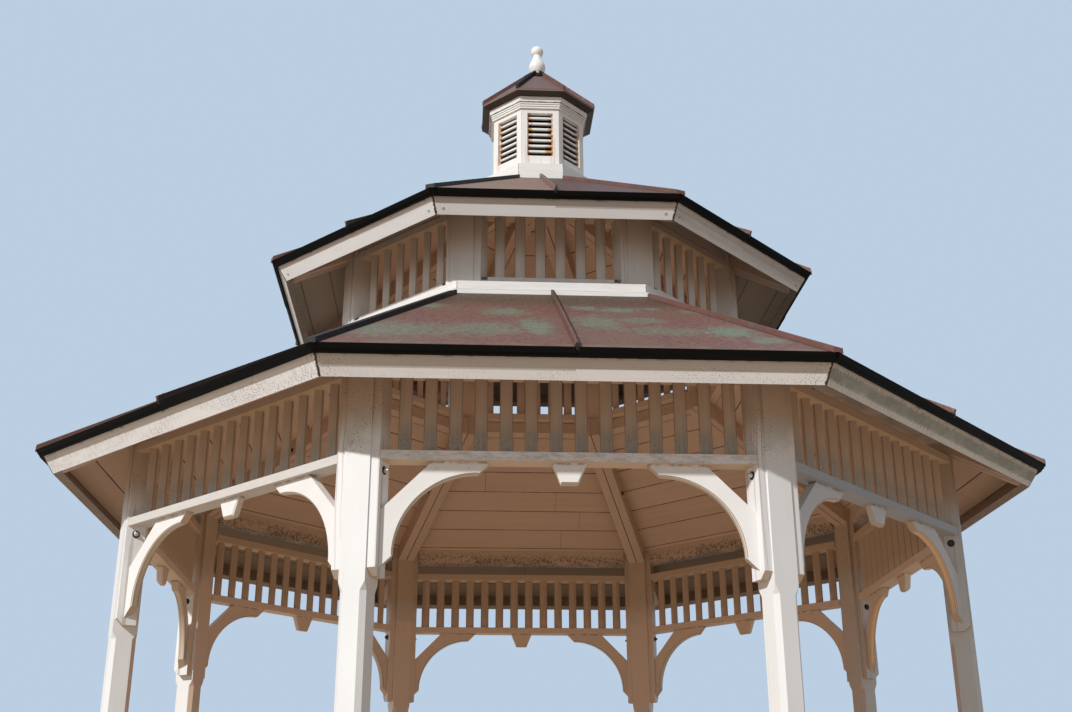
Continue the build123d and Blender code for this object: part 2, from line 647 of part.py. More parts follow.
cap_lift = CAP_SHEET / cos(radians(CUPOLA_PITCH))
with BuildPart() as cap:
    for lift, mode in ((cap_lift, Mode.ADD), (0, Mode.SUBTRACT)):
        low = cupola_ridge - CAP_RIM * pitch
        with BuildSketch(level(FRONT_ANGLE, low)):
            RegularPolygon(CAP_RIM + lift / pitch, SIDES, major_radius=False, rotation=HALF_BAY)
        with BuildSketch(level(FRONT_ANGLE, seat_z)):
            RegularPolygon(CUPOLA_SEAT + lift / pitch, SIDES, major_radius=False, rotation=HALF_BAY)
        loft(mode=mode)
    with BuildSketch(level(FRONT_ANGLE, seat_z)):
        RegularPolygon(CUPOLA_SEAT + cap_lift / pitch, SIDES, major_radius=False, rotation=HALF_BAY)
    extrude(amount=CAP_SHEET)
    with BuildSketch(level(FRONT_ANGLE, seat_z)):
        RegularPolygon(CUPOLA_HOLE - FIT, SIDES, major_radius=False, rotation=HALF_BAY)
    extrude(amount=-CUPOLA_DECK)
    roll_start, roll_end = cupola_eave / cos(HALF), (CUPOLA_SEAT + CAP_SHEET) / cos(HALF)
    for angle in POST_ANGLES:
        add(hip_roll(angle, roll_start, roll_end, cupola_ridge, pitch, ROLL_WIDTH, ROLL_HEIGHT).part)
save(cap, "cupola_cap")

finial_base = seat_z + CAP_SHEET
ball_centre = finial_base + FINIAL_HEIGHT - FINIAL_BALL
neck_z = ball_centre - sqrt(FINIAL_BALL ** 2 - FINIAL_NECK ** 2)
pear_foot = finial_base + FINIAL_RING
with BuildPart() as finial:
    with BuildSketch(Plane.XZ):
        with BuildLine():
            Polyline((0, finial_base + FINIAL_HEIGHT), (0, finial_base), (FINIAL_FOOT, finial_base),
                     (FINIAL_FOOT, pear_foot), (FINIAL_FOOT - FINIAL_STEP, pear_foot))
            Spline((FINIAL_FOOT - FINIAL_STEP, pear_foot), (FINIAL_LOW, pear_foot + FINIAL_LOW_UP),
                   (FINIAL_PEAR, pear_foot + FINIAL_PEAR_UP), (FINIAL_HIGH, pear_foot + FINIAL_HIGH_UP),
                   (FINIAL_NECK, neck_z))
            ThreePointArc((FINIAL_NECK, neck_z), (FINIAL_BALL, ball_centre), (0, finial_base + FINIAL_HEIGHT))
        make_face()
    revolve(axis=Axis.Z)
save(finial, "finial")
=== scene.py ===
import math
from collections import namedtuple
import bmesh
import bpy
import numpy as np
from mathutils import Matrix, Vector


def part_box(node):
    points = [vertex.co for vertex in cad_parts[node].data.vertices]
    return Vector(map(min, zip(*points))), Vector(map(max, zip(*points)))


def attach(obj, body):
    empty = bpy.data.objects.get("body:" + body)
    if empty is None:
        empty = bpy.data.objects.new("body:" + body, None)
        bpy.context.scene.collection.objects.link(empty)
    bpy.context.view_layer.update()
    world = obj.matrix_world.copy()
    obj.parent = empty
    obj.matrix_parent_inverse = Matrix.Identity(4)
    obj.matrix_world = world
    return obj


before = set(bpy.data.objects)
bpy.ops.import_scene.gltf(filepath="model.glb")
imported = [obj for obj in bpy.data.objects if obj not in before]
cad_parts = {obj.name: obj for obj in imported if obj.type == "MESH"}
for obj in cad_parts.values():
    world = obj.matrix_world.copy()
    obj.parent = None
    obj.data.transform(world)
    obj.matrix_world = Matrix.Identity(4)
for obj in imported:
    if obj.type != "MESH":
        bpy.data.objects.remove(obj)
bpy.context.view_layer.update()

scene = bpy.context.scene

# Metres. +Z is up, the front bay looks along -Y, and the axis of the eight sides is the Z axis.
# In a bay, "out" is the distance from the axis, "along" runs to the right seen from outside.
EIGHTH = math.pi / 4
HALF = EIGHTH / 2
FRONT = -math.pi / 2
BAYS = FRONT + EIGHTH * np.arange(8)
CORNERS = BAYS + HALF
FRONT_BAY, FRONT_RIGHT_BAY, BACK_RIGHT_BAY, BACK_LEFT_BAY, FRONT_LEFT_BAY = 0, 1, 3, 5, 7
FRONT_LEFT_CORNER = 7           # a corner has the number of the bay to its left

PITCH = math.radians(31.7)
SLOPE = math.tan(PITCH)
# A roof tier: level at which its soffits would meet, distance out to the fascia and to the hole in the
# middle, and how far the dark edge strip stands out from the fascia.
Tier = namedtuple("Tier", "ridge fascia hole edge")
LOWER = Tier(ridge=4.21737, fascia=2.4316, hole=1.112, edge=0.0150)
UPPER = Tier(ridge=4.82920, fascia=1.4554, hole=0.230, edge=0.0105)
RAILS = ((2.400, 2.438), (2.768, 2.806), (3.628, 3.666), (4.024, 4.062))   # foot and top of each rail
RAIL_FOOT, RAIL_TOP = RAILS[0]
LANTERN_RAIL_TOP = RAILS[2][1]
RAIL_FRONT, LANTERN_RAIL_FRONT = (2.080, 2.084), (1.095, 1.100)    # just behind the rails' front faces
BALUSTER_STEP, LANTERN_BALUSTER_STEP = 0.10272, 0.10375
HEADER_FOOT = 2.885             # foot of the headers above the lower friezes
ARC_ALONG, ARC_HEIGHT, ARC_RADIUS = 0.3691, 2.018, 0.331    # quarter circle of the knee brackets
BRACKET_OUT = 2.0425            # middle of a bracket's thickness
STRIP_SIDE = 0.095              # middle of a post to the outer face of its side board
BOARD_PITCH = 0.1525            # width of a soffit board in plan
BOARD_START = 1.9775            # place of one of their joints
SILL_LIP = 3.5655               # level of the painted shadow line along the sill's lower step
COLLAR_RADIUS = 0.095           # black sheet round the finial's foot


# Shapes

def in_bay(angle, out, along, up):
    """Points of a bay turned to its angle: out and along are turned about the Z axis, up is kept."""
    out, along, up = np.broadcast_arrays(*np.atleast_1d(out, along, up))
    c, s = np.cos(angle), np.sin(angle)
    return np.stack([out * c - along * s, out * s + along * c, up], axis=-1)


def on_slope(tier, inward, above):
    """Point of a roof slope: inward is up the slope from the fascia's top edge, above is square to it."""
    out = tier.fascia - inward * math.cos(PITCH) + above * math.sin(PITCH)
    return out, tier.ridge - tier.fascia * SLOPE + inward * math.sin(PITCH) + above * math.cos(PITCH)


def lofted(name, rings, finish):
    """Closed bars: an array (bars, stations, points, 3), each bar a profile carried from station to station
    with quads between neighbouring points and both ends closed by one face. The faces are turned outwards,
    and the piece gets its finish and its place on the frame."""
    bars, stations, points, _ = rings.shape
    index = np.arange(bars * stations * points).reshape(bars, stations, points)
    a, b = index[:, :-1], index[:, 1:]
    sides = np.stack([a, np.roll(a, -1, 2), np.roll(b, -1, 2), b], axis=-1).reshape(-1, 4)
    ends = np.concatenate([index[:, 0, ::-1], index[:, -1]])
    mesh = bpy.data.meshes.new(name)
    mesh.from_pydata(rings.reshape(-1, 3).tolist(), [], sides.tolist() + ends.tolist())
    work = bmesh.new()
    work.from_mesh(mesh)
    bmesh.ops.recalc_face_normals(work, faces=work.faces[:])
    work.to_mesh(mesh)
    work.free()
    mesh.shade_flat()
    mesh.materials.append(finish)
    piece = bpy.data.objects.new(name, mesh)
    scene.collection.objects.link(piece)
    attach(piece, "root")


def turned(name, centres, axes, stations, finish, sides):
    """Round pieces: at each station (distance along the axis, radius) a ring of points stands on a circle
    about the axis, and the rings are joined. No axis may be upright."""
    axes = axes / np.linalg.norm(axes, axis=1, keepdims=True)
    across = np.cross(axes, [0.0, 0.0, 1.0])
    across /= np.linalg.norm(across, axis=1, keepdims=True)
    other = np.cross(axes, across)
    turn = np.arange(sides) * 2 * np.pi / sides
    reach, radius = np.array(stations, float).T
    circle = (across[:, None, None] * np.cos(turn)[None, None, :, None]
              + other[:, None, None] * np.sin(turn)[None, None, :, None])
    rings = (centres[:, None, None] + axes[:, None, None] * reach[None, :, None, None]
             + circle * radius[None, :, None, None])
    lofted(name, rings, finish)


# Finishes

def feed(tree, socket, value):
    """A link from an output, or else a constant set on the socket itself."""
    if hasattr(value, "is_linked"):
        tree.links.new(value, socket)
    elif isinstance(value, tuple) and len(value) == 3 and len(socket.default_value) == 4:
        socket.default_value = (*value, 1.0)
    else:
        socket.default_value = value


def blended(tree, share, below, above):
    """Colour above laid over colour below by the share."""
    node = tree.nodes.new("ShaderNodeMix")
    node.data_type = "RGBA"
    feed(tree, node.inputs["Factor"], share)
    feed(tree, node.inputs[6], below)
    feed(tree, node.inputs[7], above)
    return node.outputs[2]


class Finish:
    """A node material built up step by step: a method adds one node or a few and gives back their output."""

    def __init__(self, name, rough, metal=0.0, gloss=0.3):
        self.material = bpy.data.materials.new(name)
        self.material.use_nodes = True
        self.tree = self.material.node_tree
        self.shader = self.tree.nodes["Principled BSDF"]
        self.shader.inputs["Roughness"].default_value = rough
        self.shader.inputs["Metallic"].default_value = metal
        self.shader.inputs["Specular IOR Level"].default_value = gloss
        self.place = self.tree.nodes.new("ShaderNodeTexCoord").outputs["Object"]
        self.x, self.y, self.z = self.parts(self.place)

    def feed(self, socket, value):
        feed(self.tree, socket, value)

    def parts(self, vector):
        node = self.tree.nodes.new("ShaderNodeSeparateXYZ")
        self.feed(node.inputs[0], vector)
        return node.outputs[0], node.outputs[1], node.outputs[2]

    def sum(self, operation, a, b=0.0, c=0.0):
        """One step of arithmetic, called by its name in the Math node."""
        node = self.tree.nodes.new("ShaderNodeMath")
        node.operation = operation
        for socket, value in zip(node.inputs, (a, b, c)):
            self.feed(socket, value)
        return node.outputs[0]

    def vector(self, x, y, z):
        node = self.tree.nodes.new("ShaderNodeCombineXYZ")
        for socket, value in zip(node.inputs, (x, y, z)):
            self.feed(socket, value)
        return node.outputs[0]

    def plus(self, a, b):
        return self.sum("ADD", a, b)

    def minus(self, a, b):
        return self.sum("SUBTRACT", a, b)

    def size(self, value):
        """The value without its sign."""
        return self.sum("ABSOLUTE", value)

    def times(self, *values):
        result = values[0]
        for value in values[1:]:
            result = self.sum("MULTIPLY", result, value)
        return result

    def most(self, *values):
        result = values[0]
        for value in values[1:]:
            result = self.sum("MAXIMUM", result, value)
        return result

    def length(self, a, b):
        """How far the point (a, b) lies from nought."""
        return self.sum("SQRT", self.sum("MULTIPLY_ADD", a, a, self.times(b, b)))

    def stretched(self, x, y, z, sx, sy, sz):
        """The three coordinates, each times its own scale, as a vector."""
        return self.vector(self.times(x, sx), self.times(y, sy), self.times(z, sz))

    def cloud(self, vector, scale=1.0, detail=3.0, rough=0.55, twist=0.0):
        node = self.tree.nodes.new("ShaderNodeTexNoise")
        self.feed(node.inputs["Vector"], vector)
        node.inputs["Scale"].default_value = scale
        node.inputs["Detail"].default_value = detail
        node.inputs["Roughness"].default_value = rough
        node.inputs["Distortion"].default_value = twist
        return node.outputs[0]

    def drawn(self, x, y, z, sx, sy, sz, detail, rough=0.55, twist=0.0):
        """A cloud drawn out, with a scale of its own for each of the three coordinates."""
        return self.cloud(self.stretched(x, y, z, sx, sy, sz), 1.0, detail, rough, twist)

    def dots(self, vector, scale):
        """Distance to the nearest of the scattered points."""
        node = self.tree.nodes.new("ShaderNodeTexVoronoi")
        self.feed(node.inputs["Vector"], vector)
        node.inputs["Scale"].default_value = scale
        node.inputs["Randomness"].default_value = 1.0
        return node.outputs["Distance"]

    def chance(self, vector):
        node = self.tree.nodes.new("ShaderNodeTexWhiteNoise")
        node.noise_dimensions = "3D"
        self.feed(node.inputs["Vector"], vector)
        return node.outputs["Value"]

    def rise(self, value, low, high, start=0.0, end=1.0):
        """Start below low, end above high, and a smooth step between."""
        node = self.tree.nodes.new("ShaderNodeMapRange")
        node.interpolation_type = "SMOOTHSTEP"
        for key, number in (("From Min", low), ("From Max", high), ("To Min", start), ("To Max", end)):
            node.inputs[key].default_value = number
        self.feed(node.inputs["Value"], value)
        return node.outputs["Result"]

    def between(self, value, low, high, soft):
        """One between low and high, fading to nought over soft on both sides."""
        return self.times(self.rise(value, low - soft, low), self.rise(value, high, high + soft, 1.0, 0.0))

    def over(self, share, below, above):
        return blended(self.tree, share, below, above)

    def bays(self, offset=FRONT):
        """Out, along and number of the nearest bay, or of the nearest corner with half a bay more offset.
        The bay's direction is kept for indoors."""
        turn = self.sum("ARCTAN2", self.y, self.x)
        number = self.sum("ROUND", self.sum("DIVIDE", self.minus(turn, offset), EIGHTH))
        angle = self.sum("MULTIPLY_ADD", number, EIGHTH, offset)
        c, s = self.sum("COSINE", angle), self.sum("SINE", angle)
        self.heading = c, s
        out = self.sum("MULTIPLY_ADD", self.x, c, self.times(self.y, s))
        along = self.minus(self.times(self.y, c), self.times(self.x, s))
        return out, along, self.sum("FLOORED_MODULO", number, 8.0)

    def is_bay(self, number, bay):
        return self.sum("COMPARE", number, float(bay), 0.5)

    def at_back(self, number):
        """One on the three bays at the back."""
        return self.between(number, BACK_RIGHT_BAY - 0.4, BACK_LEFT_BAY + 0.4, 0.1)

    def lantern(self):
        """Nought on the lower part, one from the lantern up."""
        return self.rise(self.z, 3.5, 3.6)

    def to_hip(self, out, along):
        """Distance along the bay to the nearest hip."""
        return self.minus(self.times(out, math.tan(HALF)), self.size(along))

    def facing(self):
        """The three parts of the surface's own direction."""
        return self.parts(self.tree.nodes.new("ShaderNodeNewGeometry").outputs["Normal"])

    def upward(self):
        """One on level tops, nought on upright faces, minus one on faces that look straight down."""
        return self.facing()[2]

    def indoors(self):
        """One on faces that look towards the axis, nought on side faces and outdoors."""
        nx, ny, nz = self.facing()
        c, s = self.heading
        outward = self.sum("MULTIPLY_ADD", nx, c, self.times(ny, s))
        return self.rise(self.sum("MULTIPLY_ADD", nz, 0.15, outward), -0.62, -0.30, 1.0, 0.0)

    def finish(self, colour, rough=None, height=None, depth=0.001):
        """The material with its colour, and with its roughness and its relief where they are given."""
        self.feed(self.shader.inputs["Base Color"], colour)
        if rough is not None:
            self.feed(self.shader.inputs["Roughness"], rough)
        if height is not None:
            node = self.tree.nodes.new("ShaderNodeBump")
            node.inputs["Strength"].default_value = 0.6
            node.inputs["Distance"].default_value = depth
            self.feed(node.inputs["Height"], height)
            self.tree.links.new(node.outputs["Normal"], self.shader.inputs["Normal"])
        return self.material


WHITE = (0.84, 0.83, 0.81)
POST_WHITE = (0.81, 0.815, 0.81)
FASCIA_WHITE = (0.88, 0.885, 0.885)
SHADE_GREY = (0.40, 0.42, 0.43)
SHADE_BLUE = (0.40, 0.45, 0.50)
CREAM = (0.74, 0.71, 0.655)
# tan painted shade for faces that look towards the axis
INDOOR_SHADE = (0.72, 0.51, 0.36)
SPECK = (0.085, 0.075, 0.060)
GREY_FILM = (0.47, 0.46, 0.415)
# dark dirt in joints and mitres, also painted shade under the rail and along the cornice ledge
DIRT_AND_SHADE = (0.055, 0.042, 0.030)
RUST = (0.56, 0.255, 0.045)
# tan painted shade of the soffit boards
SOFFIT_SHADE_TAN = (0.64, 0.455, 0.33)
# tan painted shade under the lantern's eave
LANTERN_SHADE_TAN = (0.50, 0.415, 0.325)
# painted shadow beside the seams and hip caps
SEAM_SHADOW = (0.02, 0.013, 0.010)
# Grey film on the front left bay's lower rail, blue-grey painted shade on the front right one
RAIL_FILMS_AND_SHADE = {FRONT_RIGHT_BAY: (0.31, 0.36, 0.41), FRONT_LEFT_BAY: (0.61, 0.59, 0.555)}
MILDEW_SHARES = {FRONT_BAY: 1.0, FRONT_RIGHT_BAY: 0.25, FRONT_LEFT_BAY: 0.25, None: 0.25}   # None: lantern


def white_coat(f, along, across, other, white=WHITE, worn=1.0):
    """White paint with brush marks and faint wood grain drawn out in one direction, tan painted shade
    indoors.
    """
    broad = f.cloud(f.stretched(across, other, along, 3, 3, 1), 2.0, 3)
    brush = f.drawn(across, other, along, 75, 75, 2.2, 3, 0.6)
    grain = f.rise(f.drawn(across, other, along, 38, 38, 0.7, 2, 0.5, 0.4), 0.62, 0.72)
    colour = f.over(f.rise(broad, 0.3, 0.7), white, tuple(0.955 * part for part in white))
    colour = f.over(f.times(f.rise(brush, 0.45, 0.8), 0.18 * worn), colour, CREAM)
    colour = f.over(f.times(grain, 0.12 * worn), colour, (0.50, 0.45, 0.38))
    # tan painted shade on faces that look towards the axis, for the warm light off the ground
    colour = f.over(f.times(f.indoors(), 0.8), colour, INDOOR_SHADE)
    return colour, brush


def mildew(f, vector, size, amount):
    """Clumps of small dark spots, more of them as the amount goes from nought to one."""
    spots = f.rise(f.dots(vector, size), 0.14, 0.34, 1.0, 0.0)
    clumps = f.rise(f.cloud(vector, size / 11, 5, 0.75), 0.62 - 0.22 * amount, 0.72 - 0.22 * amount)
    return f.times(spots, clumps)


def in_the_shade(f, colour, tan):
    """Painted shade: grey on the right-hand posts, tan ends under both eaves, the lantern's with its own tan.
    """
    # grey painted shade on the right-hand posts
    colour = f.over(f.rise(f.x, 1.2, 1.7, 0.0, 0.45), colour, SHADE_GREY)
    # tan painted shade at the upper ends, under both eaves
    high = f.most(f.between(f.z, 2.64, 3.1, 0.18), f.between(f.z, 3.95, 4.4, 0.20))
    return f.over(f.times(high, 0.78), colour, f.over(f.lantern(), tan, LANTERN_SHADE_TAN))


def post_paint():
    """Posts: white, tan painted shade and mildew above the rail, a nail here and there, splashed at the foot.
    """
    f = Finish("post_paint", 0.55)
    out, along, _ = f.bays(FRONT + HALF)
    colour, brush = white_coat(f, f.z, out, along, POST_WHITE)
    # tan painted shade at the posts' upper ends
    colour = in_the_shade(f, colour, (0.47, 0.355, 0.235))
    film = f.times(f.rise(f.cloud(f.place, 7, 4), 0.30, 0.60), f.between(f.z, 2.48, 2.60, 0.03), 0.45)
    colour = f.over(film, colour, GREY_FILM)
    specks = f.times(mildew(f, f.place, 120, 0.55), f.between(f.z, 2.46, 3.0, 0.08), 0.9)
    colour = f.over(specks, colour, SPECK)
    nails = f.rise(f.dots(f.stretched(out, along, f.z, 1.0, 1.0, 0.5), 8.0), 0.018, 0.030, 0.55, 0.0)
    colour = f.over(nails, colour, (0.33, 0.27, 0.20))
    splash = f.drawn(f.x, f.y, f.z, 14, 14, 5, 4)
    splash = f.times(f.rise(splash, 0.4, 0.7), f.rise(f.z, 0.02, 0.35, 0.45, 0.0))
    colour = f.over(splash, colour, (0.36, 0.30, 0.22))
    return f.finish(colour, height=brush, depth=0.0006)


def strip_paint():
    """Side boards of the posts: wandering dark streaks down the grain, and feet brown with painted shade."""
    f = Finish("strip_paint", 0.55)
    out, along, _ = f.bays(FRONT + HALF)
    colour, brush = white_coat(f, f.z, out, along, POST_WHITE)
    wander = f.times(f.drawn(out, along, f.z, 2, 2, 1.6, 2), 0.05)
    streaks = f.drawn(f.plus(along, wander), out, f.z, 95, 40, 0.5, 2, 0.4)
    colour = f.over(f.rise(streaks, 0.60, 0.66, 0.0, 0.5), colour, (0.34, 0.30, 0.25))
    # tan painted shade at the upper ends
    colour = in_the_shade(f, colour, (0.46, 0.345, 0.235))
    specks = f.times(mildew(f, f.place, 120, 0.60), f.between(f.z, 2.44, 3.0, 0.08), 0.9)
    colour = f.over(specks, colour, SPECK)
    # brown painted shade on the faces that look down
    colour = f.over(f.rise(f.upward(), -0.55, -0.25, 0.75, 0.0), colour, (0.50, 0.37, 0.245))
    return f.finish(colour, height=brush, depth=0.0006)


def frieze_paint(bay=None):
    """Rails and balusters of one lower bay, or of the lantern. The front rail carries the most mildew."""
    lantern = bay is None
    f = Finish("frieze_paint" if lantern else "frieze_paint_%d" % bay, 0.58)
    out, along, _ = f.bays()
    upright, brush = white_coat(f, f.z, out, along)
    level, _ = white_coat(f, along, out, f.z)
    rail = f.most(*(f.between(f.z, foot, top, 0.001) for foot, top in RAILS))
    colour = f.over(rail, upright, level)
    # brown painted shade under the eaves of both tiers
    shade_band = f.most(f.between(f.z, 2.54, 2.90, 0.10), f.between(f.z, 3.92, 4.2, 0.18))
    colour = f.over(f.times(shade_band, 0.78), colour, (0.50, 0.41, 0.32) if lantern else (0.50, 0.37, 0.25))
    step = LANTERN_BALUSTER_STEP if lantern else BALUSTER_STEP
    aside = f.size(f.times(f.minus(f.sum("FRACT", f.sum("DIVIDE", along, step)), 0.5), step))
    upright_only = f.minus(1.0, rail)
    # dark painted shade along the balusters' edges
    arris = f.times(f.rise(aside, 0.0215, 0.0255), upright_only, 0.6)
    colour = f.over(arris, colour, (0.17, 0.125, 0.09))
    # tan painted shade on the faces that look down
    colour = f.over(f.rise(f.upward(), -0.8, -0.4, 0.8, 0.0), colour, (0.62, 0.43, 0.255))
    dark = MILDEW_SHARES.get(bay, 0.15)
    front_face = f.rise(out, *(LANTERN_RAIL_FRONT if lantern else RAIL_FRONT))
    streak = f.drawn(out, along, f.z, 30, 20, 70, 5, 0.65)
    film = f.times(f.rise(streak, 0.40, 0.66), rail, front_face, 0.50 * dark)
    # grey film on the front left rail, blue-grey painted shade on the front right one
    if bay in RAIL_FILMS_AND_SHADE:
        lower_rail = f.times(rail, f.rise(f.z, 2.5, 2.6, 0.8, 0.0))
        colour = f.over(lower_rail, colour, RAIL_FILMS_AND_SHADE[bay])
    colour = f.over(film, colour, (0.42, 0.40, 0.365))
    drawn_out = f.stretched(out, along, f.z, 1.0, 0.75, 1.0)
    grit = f.rise(f.drawn(out, along, f.z, 170, 120, 210, 4, 0.75), 0.56, 0.63)
    fine = f.most(f.times(mildew(f, drawn_out, 150, 0.55), 0.7), f.times(grit, f.rise(streak, 0.48, 0.60)))
    patches = f.rise(f.drawn(out, along, f.z, 9, 9, 22, 4, 0.6), 0.40, 0.66)
    on_rail = f.times(fine, patches, rail, front_face, 0.9 * dark)
    feet = f.times(mildew(f, drawn_out, 105, 0.9), f.between(f.z, RAIL_TOP, RAIL_TOP + 0.032, 0.09),
                   f.rise(out, 2.02, 2.05), upright_only, 0.45 + 0.5 * dark)
    # grey painted shade on the balusters' feet
    grey_feet = f.times(f.between(f.z, RAIL_TOP, RAIL_TOP + 0.052, 0.10), f.rise(out, 2.035, 2.055),
                        upright_only, 0.55 + 0.25 * dark)
    colour = f.over(grey_feet, colour, (0.36, 0.335, 0.285))
    colour = f.over(f.most(on_rail, feet), colour, SPECK)
    if lantern:
        on_foot = f.between(f.z, LANTERN_RAIL_TOP - 0.014, LANTERN_RAIL_TOP + 0.029, 0.006)
        ends = f.times(f.rise(f.size(along), 0.318, 0.326), on_foot,
                       f.rise(f.cloud(f.place, 90, 3), 0.28, 0.40), 0.95)
        colour = f.over(ends, colour, DIRT_AND_SHADE)
    return f.finish(colour, height=brush, depth=0.0005)


def bracket_paint():
    """White boards with painted shade: blue-grey in the front right bay, brown on the faces that look down
    and warm tan on the quarter circle, which has a dark line along both its arrises.
    """
    f = Finish("bracket_paint", 0.52)
    out, along, number = f.bays()
    colour, brush = white_coat(f, f.plus(along, f.z), out, f.minus(along, f.z))
    # blue-grey painted shade in the front right bay
    colour = f.over(f.times(f.is_bay(number, FRONT_RIGHT_BAY), 0.5), colour, SHADE_BLUE)
    # brown painted shade on the faces that look down
    colour = f.over(f.rise(f.upward(), -0.60, -0.20, 0.8, 0.0), colour, (0.52, 0.37, 0.23))
    aside, below = f.minus(f.size(along), ARC_ALONG), f.minus(f.z, ARC_HEIGHT)
    radius = f.length(aside, below)
    curve = f.times(f.rise(aside, -0.002, 0.0), f.rise(below, -0.002, 0.0))
    edge = f.rise(radius, ARC_RADIUS + 0.0045, ARC_RADIUS + 0.0055, 1.0, 0.0)
    # warm tan painted light off the ground on the quarter circle, warmer towards the right
    warm = f.over(f.rise(f.x, 0.9, 1.6), (0.70, 0.60, 0.47), (0.92, 0.63, 0.385))
    colour = f.over(f.times(edge, curve, 0.9), colour, warm)
    deep = f.size(f.minus(out, BRACKET_OUT))
    # dark painted shade lines along the arrises of the quarter circle
    shade_lines = f.most(f.between(radius, ARC_RADIUS + 0.0040, ARC_RADIUS + 0.0058, 0.0008),
                   f.times(edge, f.between(deep, 0.0118, 0.0136, 0.0008)),
                   f.times(edge, f.between(deep, 0.0055, 0.0065, 0.0008), 0.6))
    colour = f.over(f.times(shade_lines, curve, 0.8), colour, (0.12, 0.085, 0.055))
    top = f.times(mildew(f, f.place, 110, 0.45), f.rise(f.z, RAIL_FOOT - 0.070, RAIL_FOOT - 0.005), 0.8)
    colour = f.over(top, colour, SPECK)
    # patchy painted shade where the board's top meets the rail above
    seam = f.times(f.rise(f.z, RAIL_FOOT - 0.012, RAIL_FOOT - 0.003),
                   f.rise(f.cloud(f.place, 30, 3), 0.35, 0.6), 0.55)
    colour = f.over(seam, colour, DIRT_AND_SHADE)
    return f.finish(colour, height=brush, depth=0.0005)


def header_paint():
    """Headers and curb: white under tan painted shade, sooty at the foot, with coarse dark flecks, most of
    them at the back.
    """
    f = Finish("header_paint", 0.6)
    out, along, number = f.bays()
    colour, brush = white_coat(f, along, out, f.z)
    # tan painted shade over the white
    colour = f.over(0.55, colour, (0.58, 0.425, 0.30))
    foot = f.most(f.rise(f.z, HEADER_FOOT, HEADER_FOOT + 0.09, 1.0, 0.25), f.times(f.lantern(), 0.2))
    soot = f.rise(f.drawn(out, along, f.z, 5, 5, 16, 5, 0.7), 0.34, 0.62)
    colour = f.over(f.times(soot, foot, 0.45), colour, (0.20, 0.165, 0.12))
    flecks = f.most(f.rise(f.dots(f.place, 48), 0.20, 0.42, 1.0, 0.0),
                    f.rise(f.cloud(f.place, 60, 4, 0.8), 0.52, 0.58))
    share = f.sum("MULTIPLY_ADD", f.at_back(number), 0.70, 0.15)
    flecks = f.times(flecks, f.rise(foot, 0.1, 0.9), f.rise(soot, 0.0, 0.6, 0.35, 1.0), share)
    colour = f.over(flecks, colour, SPECK)
    return f.finish(colour, height=brush, depth=0.0006)


